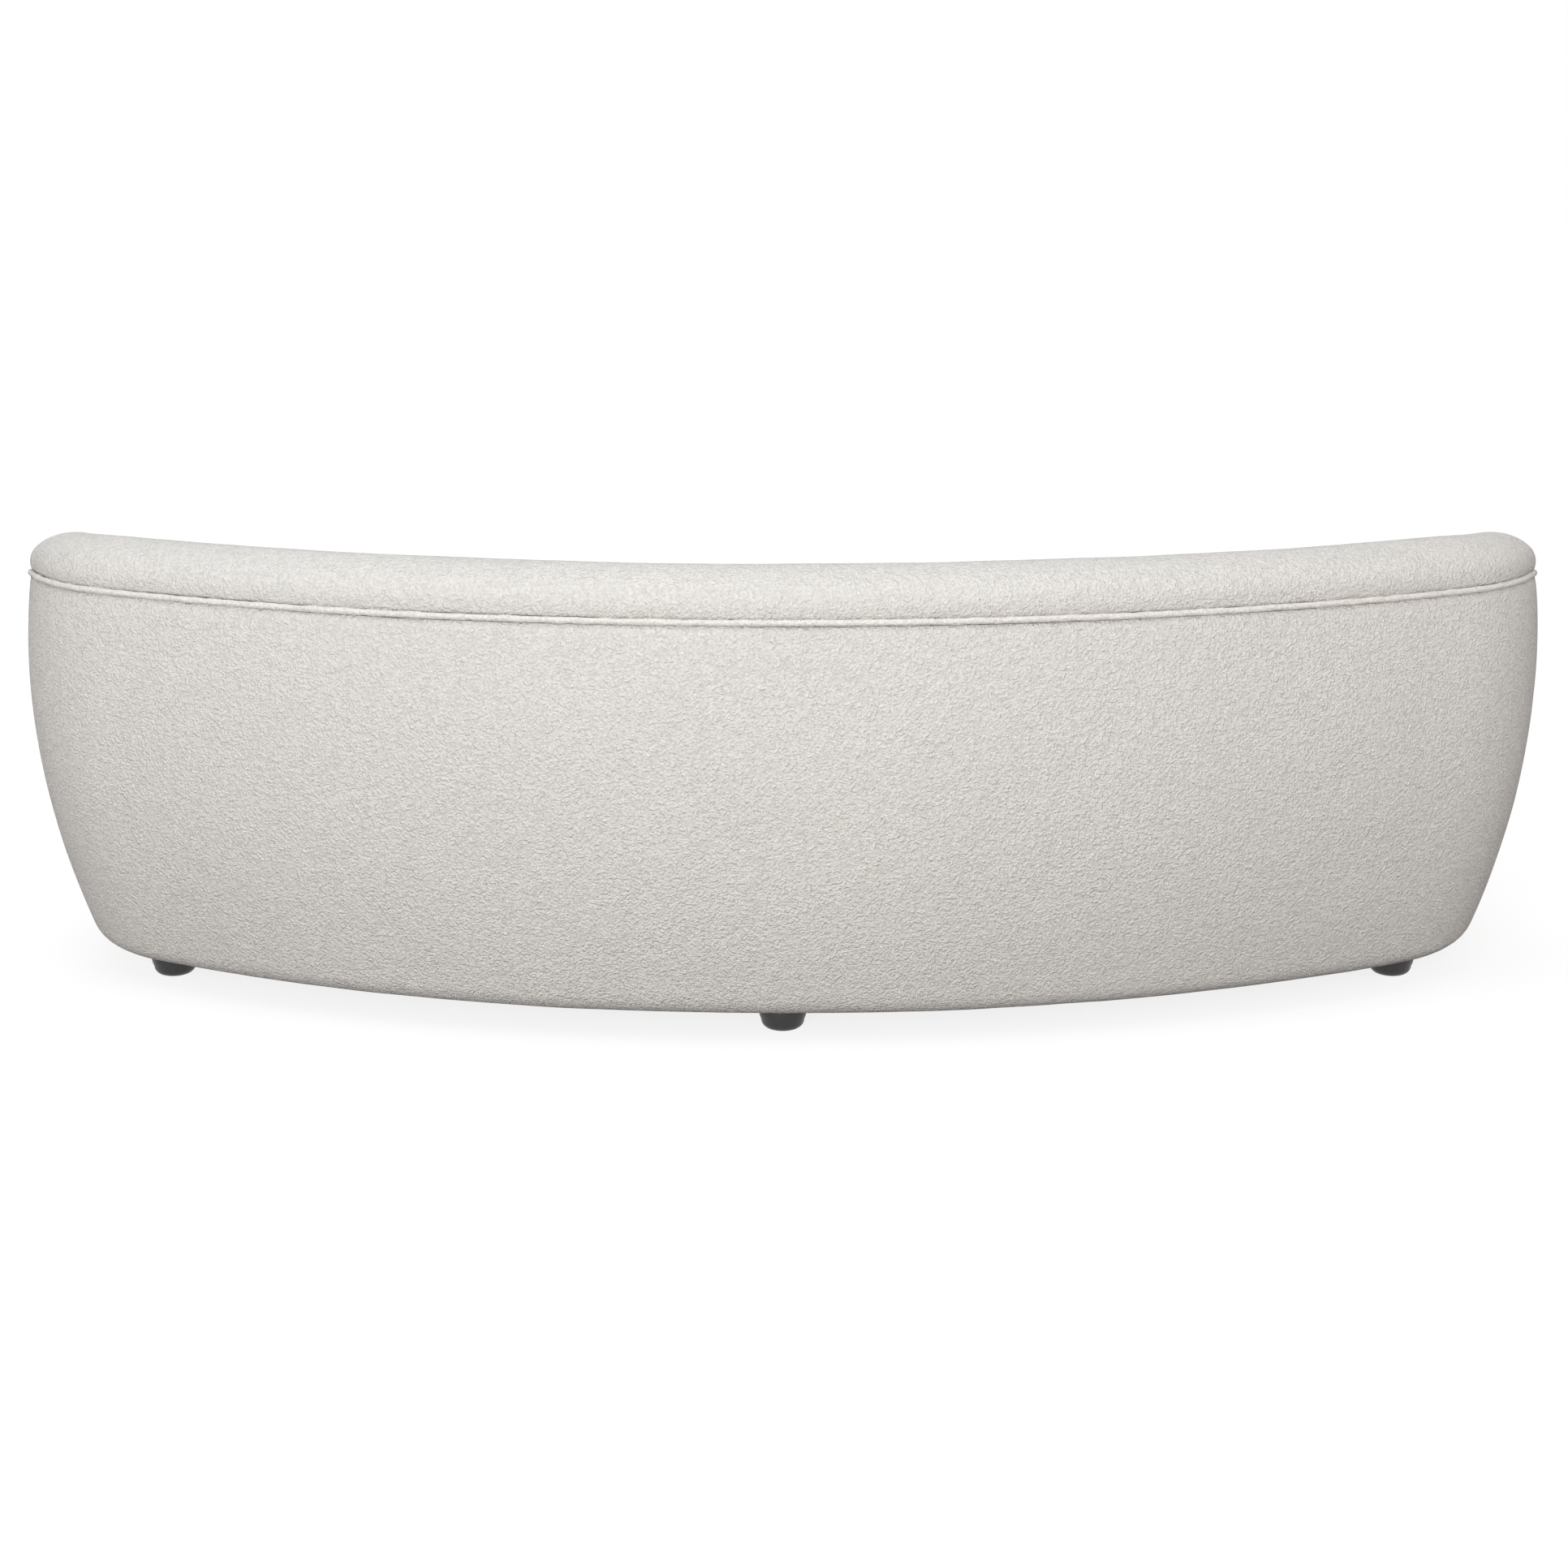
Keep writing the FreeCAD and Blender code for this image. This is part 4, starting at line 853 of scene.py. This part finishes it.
@dataclass
class SeatCushion:
    """The loose crescent cushion: a welted box cushion, crowned and puffed by a cloth run."""

    wardrobe: Wardrobe
    foot: float = 0.2833
    thick: float = 0.15
    crown: float = 0.016
    edge: float = 0.0165
    welt_radius: float = 0.0045
    voxel: float = 0.0075
    side_gap: float = 0.014
    gap: float = 0.006
    slack: float = 0.002
    pressure: float = 4.0
    tension: float = 18.0
    bending: float = 0.8
    frames: int = 20
    most: float = 0.012

    def outline(self, draw: float) -> Bean:
        """The cushion's outline, drawn in by a distance."""
        return Bean(half=1.2 - 0.19 - self.side_gap - draw, back=2.17 - 0.262 - self.gap - draw,
                    back_centre=2.17, corner=0.15 - draw, side=0.6 - draw, tip=0.075 - draw,
                    front=2.2 + 0.006 + draw)

    def ring(self, draw: float, height: float, pitch: float) -> list[Vector]:
        """Points round the cushion at a draw and a height above its foot."""
        loop = Track(self.outline(draw)).loop(pitch)
        return [Vector((spot.x, spot.y, self.foot + height)) for spot in loop]

    def start_form(self) -> bpy.types.Object:
        """The cushion a little smaller than it ends up, before the cloth run."""
        levels = [(0.02, 0.001), (0.012, 0.006), (0.007, 0.03), (0.006, 0.075), (0.007, 0.12),
                  (0.012, 0.144), (0.022, 0.1485)]
        rings = [self.resampled(draw + self.slack, height) for draw, height in levels]
        return SHOP.from_rings("seat_cushion_pad", rings)

    def resampled(self, draw: float, height: float) -> list[Vector]:
        """The ring at a level with one number of points whatever its draw."""
        count = 640
        loop = self.ring(draw, height, 0.005)
        lengths = [0.0]
        for one, two in zip(loop, loop[1:] + loop[:1]):
            lengths.append(lengths[-1] + (two - one).length)
        total, found, index = lengths[-1], [], 0
        for step in range(count):
            goal = total * step / count
            while lengths[index + 1] < goal:
                index += 1
            share = (goal - lengths[index]) / (lengths[index + 1] - lengths[index])
            found.append(loop[index].lerp(loop[(index + 1) % len(loop)], share))
        return found

    def puffed(self, piece: bpy.types.Object) -> None:
        """Inflate the pad as cloth held at its seams, limit each point's way, and bake it in."""
        SHOP.apply(piece, "REMESH", mode="VOXEL", voxel_size=self.voxel, use_smooth_shade=True)
        rest = [corner.co.copy() for corner in piece.data.vertices]
        SHOP.take(piece)
        seam = piece.vertex_groups.new(name="seam")
        held = [corner.index for corner in piece.data.vertices if self.at_seam(corner.co)]
        seam.add(held, 1.0, "REPLACE")
        cloth = piece.modifiers.new("Cloth", "CLOTH")
        cloth.settings.vertex_group_mass = seam.name
        cloth.settings.use_pressure = True
        cloth.settings.uniform_pressure_force = self.pressure
        cloth.settings.effector_weights.gravity = 0.0
        cloth.settings.tension_stiffness = self.tension
        cloth.settings.bending_stiffness = self.bending
        cloth.collision_settings.use_collision = False
        cloth.point_cache.frame_end = self.frames
        for step in range(1, self.frames + 1):
            bpy.context.scene.frame_set(step)
        bpy.ops.object.modifier_apply(modifier=cloth.name)
        bpy.context.scene.frame_set(1)
        piece.vertex_groups.clear()
        top = self.foot + self.thick
        for corner, before in zip(piece.data.vertices, rest):
            move = corner.co - before
            if move.length > 0.0:
                move *= self.most * math.tanh(move.length / self.most) / move.length
            corner.co = before + move
            if before.z > top - 0.02:
                corner.co.z += self.crown * self.swell(before)
            corner.co.z = max(corner.co.z, self.foot)
        piece.data.update()

    def at_seam(self, place: Vector) -> bool:
        """Whether a place is beside one of the two seams, where the cord holds the cloth."""
        height = place.z - self.foot
        return 0.0025 < height < 0.0135 or self.thick - 0.0135 < height < self.thick - 0.003

    def swell(self, place: Vector) -> float:
        """How much of the crown a place of the top gets: all in the middle and none at the seam."""
        bean = self.outline(0.0)
        back = bean.back - math.hypot(place.x, place.y - bean.middle + bean.back_centre)
        front = math.hypot(place.x, place.y - bean.middle + bean.front_centre) - bean.front
        side = bean.half - abs(place.x)
        return ease(min(back, front, side) / 0.16)

    def welt(self, name: str, node: str, rise: float) -> bpy.types.Object:
        """A covered cord round one seam of the cushion."""
        radius = self.welt_radius
        path = self.ring(self.edge - radius, rise, 0.008)
        rings = []
        for index, spot in enumerate(path):
            way = (path[(index + 1) % len(path)] - path[index - 1]).normalized()
            aside = Vector((way.y, -way.x, 0.0))
            turns = [2 * math.pi * step / 12 for step in range(12)]
            rings.append([spot + aside * (radius * math.cos(turn))
                          + Vector((0, 0, radius * math.sin(turn))) for turn in turns])
        made = SHOP.from_rings(name, rings, closed=True)
        # The cushion welt's finish is painted darker, as painted shade in the seam.
        self.wardrobe.dress(made, Finish.WELT)
        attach(made, "seat_cushion")
        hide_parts(node)
        return made

    def build(self) -> list[bpy.types.Object]:
        """Make the pad and its two welts."""
        pad = self.start_form()
        self.puffed(pad)
        SHOP.shift(pad, hand_of_cloth(0.003, 0.24, 4.4))
        self.wardrobe.dress(pad, Finish.CUSHION)
        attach(pad, "seat_cushion")
        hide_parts("seat_cushion")
        low = self.welt("cushion_welt_lower", "cushion_welt_low", self.welt_radius)
        high = self.welt("cushion_welt_upper", "cushion_welt_high", self.thick - self.welt_radius)
        return [pad, low, high]


@dataclass
class Feet:
    """Six turned bun feet under the base."""

    wardrobe: Wardrobe
    top: float = 0.0384
    radius: float = 0.037
    base: float = 0.033
    edge: float = 0.014

    def foot(self, name: str, x: float, y: float) -> bpy.types.Object:
        """Turn one foot from a disc: flat sole, round edge, belly and narrow neck."""
        SHOP.clear()
        bpy.ops.mesh.primitive_circle_add(vertices=56, radius=self.base - self.edge,
                                          fill_type="NGON", location=(x, y, 0.0))
        piece = bpy.context.object
        piece.name = name
        bpy.ops.object.mode_set(mode="EDIT")
        bpy.ops.mesh.select_all(action="SELECT")
        reach = self.base - self.edge
        steps = [(self.base - self.edge * (1 - math.sin(t)), self.edge * (1 - math.cos(t)))
                 for t in (math.pi / 2 * step / 6 for step in range(1, 7))]
        steps += [(self.base + 0.0026, 0.021), (self.radius, 0.030),
                  (self.radius, self.top - 0.003), (self.radius - 0.001, self.top - 0.0008),
                  (self.radius - 0.003, self.top)]
        height = 0.0
        for radius, level in steps:
            rise = {"value": (0, 0, level - height)}
            bpy.ops.mesh.extrude_region_move(TRANSFORM_OT_translate=rise)
            share = radius / reach
            bpy.ops.transform.resize(value=(share, share, 1.0), center_override=(x, y, level))
            reach, height = radius, level
        bpy.ops.mesh.select_all(action="SELECT")
        bpy.ops.mesh.normals_make_consistent(inside=False)
        bpy.ops.object.mode_set(mode="OBJECT")
        bpy.ops.object.transform_apply(location=True, rotation=True, scale=True)
        bpy.ops.object.shade_smooth_by_angle(angle=math.radians(40))
        return piece

    def build(self) -> list[bpy.types.Object]:
        """Make the feet where the frame has them, each row standing for its node."""
        made = []
        for node in ("rear_feet", "front_feet"):
            row = []
            for index, (x, y) in enumerate(self.places(node)):
                name = "%s_%d" % (node.replace("feet", "foot"), index + 1)
                row.append(self.foot(name, x, y))
            for piece in row:
                self.wardrobe.dress(piece, Finish.FOOT)
                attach(piece, "frame")
                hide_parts(node)
            made += row
        return made

    def places(self, node: str) -> list[Pair]:
        """The middles of a node's feet, from the left to the right."""
        corners = [corner.co for corner in frame["nodes"][node].data.vertices]
        groups: list[list[Vector]] = []
        for spot in sorted(corners, key=lambda one: one.x):
            if groups and spot.x - groups[-1][-1].x < 0.05:
                groups[-1].append(spot)
            else:
                groups.append([spot])
        return [(self.middle(one.x for one in group), self.middle(one.y for one in group))
                for group in groups]

    def middle(self, values: Iterable[float]) -> float:
        """Halfway between the lowest and the highest of some numbers."""
        held = list(values)
        return (min(held) + max(held)) / 2


@dataclass
class Inside:
    """The boards, foam, webbing and fasteners, which keep their shapes from the frame."""

    wardrobe: Wardrobe

    def finish_of(self, node: str) -> Finish:
        """The finish of a node by its slot in the record."""
        slots = {row["node"]: row["material_slot"] for row in frame["record"]["subparts"]}
        by_slot = {"plywood": Finish.PLYWOOD, "foam": Finish.FOAM, "zinc_steel": Finish.ZINC,
                   "webbing": Finish.WEBBING, "dust_cloth": Finish.DUST, "deck_cloth": Finish.DECK,
                   "black_wood": Finish.FOOT, "welt_boucle": Finish.WELT,
                   "cushion_boucle": Finish.CUSHION}
        return by_slot.get(slots[node], Finish.BOUCLE)

    def build(self) -> list[bpy.types.Object]:
        """Dress every node of the frame."""
        nodes = list(frame["nodes"].values())
        for node in nodes:
            self.wardrobe.dress(node, self.finish_of(node.name))
        return nodes


# Studio


@dataclass
class Studio:
    """A pale floor, soft lamps and the camera."""

    eye_height: float = 1.328
    eye_back: float = 4.0787
    pitch: float = 0.2563
    floor_back: float = 0.09
    floor_white: float = 0.78
    floor_glow: float = 1.06
    lens: float = 59.5

    def floor(self) -> bpy.types.Object:
        """A wide plain floor, white to the camera and pale to the light."""
        SHOP.clear()
        bpy.ops.mesh.primitive_plane_add(size=60.0, location=(0, 0, -0.0005))
        piece = bpy.context.object
        piece.name = "studio_floor"
        piece.data.materials.append(self.floor_paint())
        return piece

    def floor_paint(self) -> bpy.types.Material:
        """Floor paint that shows white but for the sofa's shadow, and throws little light up."""
        board = NodeBoard("studio_floor_paint")
        apart = board.add("ShaderNodeVectorMath", {"operation": "LENGTH"}, {0: board.place})
        far = (Number(board, apart.outputs["Value"]) * 0.5 - 1.0).clamped()
        path = board.add("ShaderNodeLightPath")
        rays = [Number(board, path.outputs[name]) for name in ("Is Camera Ray", "Is Glossy Ray")]
        seen, back = (rays[0] + rays[1]).clamped(), self.floor_back
        paint = board.add("ShaderNodeBsdfDiffuse", {},
                          {"Color": (back, back * 0.74, back * 0.68, 1.0)})
        pale = board.add("ShaderNodeBsdfDiffuse", {}, {"Color": (0.92, 0.92, 0.92, 1.0)})
        white = board.add("ShaderNodeEmission", {},
                          {"Color": (1.0, 1.0, 1.0, 1.0), "Strength": self.floor_glow})
        share = far * (1.0 - self.floor_white) + self.floor_white
        shown = board.add("ShaderNodeMixShader", {},
                          {0: share, 1: pale.outputs[0], 2: white.outputs[0]})
        mixed = board.add("ShaderNodeMixShader", {},
                          {0: seen, 1: paint.outputs[0], 2: shown.outputs[0]})
        board.add("ShaderNodeOutputMaterial", {}, {"Surface": mixed.outputs[0]})
        return board.material

    def lamp(self, name: str, place: Vector, size: float, power: float,
             colour: tuple[float, float, float] = (1.0, 1.0, 1.0)) -> None:
        """A soft square lamp aimed at the sofa's middle."""
        goal = Vector((0, 0, 0.4))
        light = bpy.data.lights.new(name, "AREA")
        light.size, light.energy, light.color = size, power, colour
        made = bpy.data.objects.new(name, light)
        made.location = place
        made.rotation_euler = (goal - place).to_track_quat("-Z", "Y").to_euler()
        bpy.context.scene.collection.objects.link(made)

    def light(self) -> None:
        """An even sky and five soft lamps."""
        world = bpy.data.worlds.new("studio_sky")
        bpy.context.scene.world = world
        world.use_nodes = True
        tree = world.node_tree
        tree.nodes.clear()
        path = tree.nodes.new("ShaderNodeLightPath")
        seen = tree.nodes.new("ShaderNodeMath")
        seen.operation = "MAXIMUM"
        tree.links.new(path.outputs["Is Camera Ray"], seen.inputs[0])
        tree.links.new(path.outputs["Is Glossy Ray"], seen.inputs[1])
        soft, white = tree.nodes.new("ShaderNodeBackground"), tree.nodes.new("ShaderNodeBackground")
        soft.inputs["Color"].default_value = (0.985, 0.99, 1.0, 1.0)
        soft.inputs["Strength"].default_value = 0.46
        white.inputs["Color"].default_value = (1.0, 1.0, 1.0, 1.0)
        mixed, end = tree.nodes.new("ShaderNodeMixShader"), tree.nodes.new("ShaderNodeOutputWorld")
        tree.links.new(seen.outputs[0], mixed.inputs[0])
        tree.links.new(soft.outputs[0], mixed.inputs[1])
        tree.links.new(white.outputs[0], mixed.inputs[2])
        tree.links.new(mixed.outputs[0], end.inputs["Surface"])
        self.lamp("key", Vector((0.9, 5.4, 1.5)), 2.4, 222.0, (1.0, 0.992, 0.975))
        self.lamp("left_fill", Vector((4.2, 2.2, 2.0)), 2.5, 34.0)
        self.lamp("right_fill", Vector((-4.2, 2.4, 2.0)), 2.5, 60.0, (1.0, 0.95, 0.92))
        self.lamp("top", Vector((0.4, 1.4, 4.4)), 3.0, 56.0)
        self.lamp("front", Vector((0.6, -4.2, 3.2)), 3.0, 100.0)

    def camera(self) -> None:
        """The camera behind the sofa, as the photograph has it."""
        lens = bpy.data.cameras.new("camera")
        lens.lens, lens.sensor_width = self.lens, 36.0
        lens.shift_x, lens.shift_y = 0.0008, 0.0098
        made = bpy.data.objects.new("camera", lens)
        made.location = (0.0, self.eye_back, self.eye_height)
        made.rotation_euler = (math.pi / 2 - self.pitch, 0.0, math.pi)
        bpy.context.scene.collection.objects.link(made)
        bpy.context.scene.camera = made

    def build(self) -> None:
        """Set up the studio."""
        bpy.context.scene.view_settings.view_transform = "Standard"
        self.floor()
        self.light()
        self.camera()


def main() -> None:
    """Build the sofa's pieces and the studio in order."""
    logging.basicConfig(level=logging.INFO, format="%(name)s: %(message)s")
    wardrobe = Wardrobe()
    groups = [Inside(wardrobe), Covers(Wall(), wardrobe), SeatCushion(wardrobe), Feet(wardrobe)]
    for group in groups:
        for piece in group.build():
            LOG.info("%s: %s, %d faces", type(group).__name__, piece.name, len(piece.data.polygons))
    Studio().build()


if __name__ == "__main__":
    main()
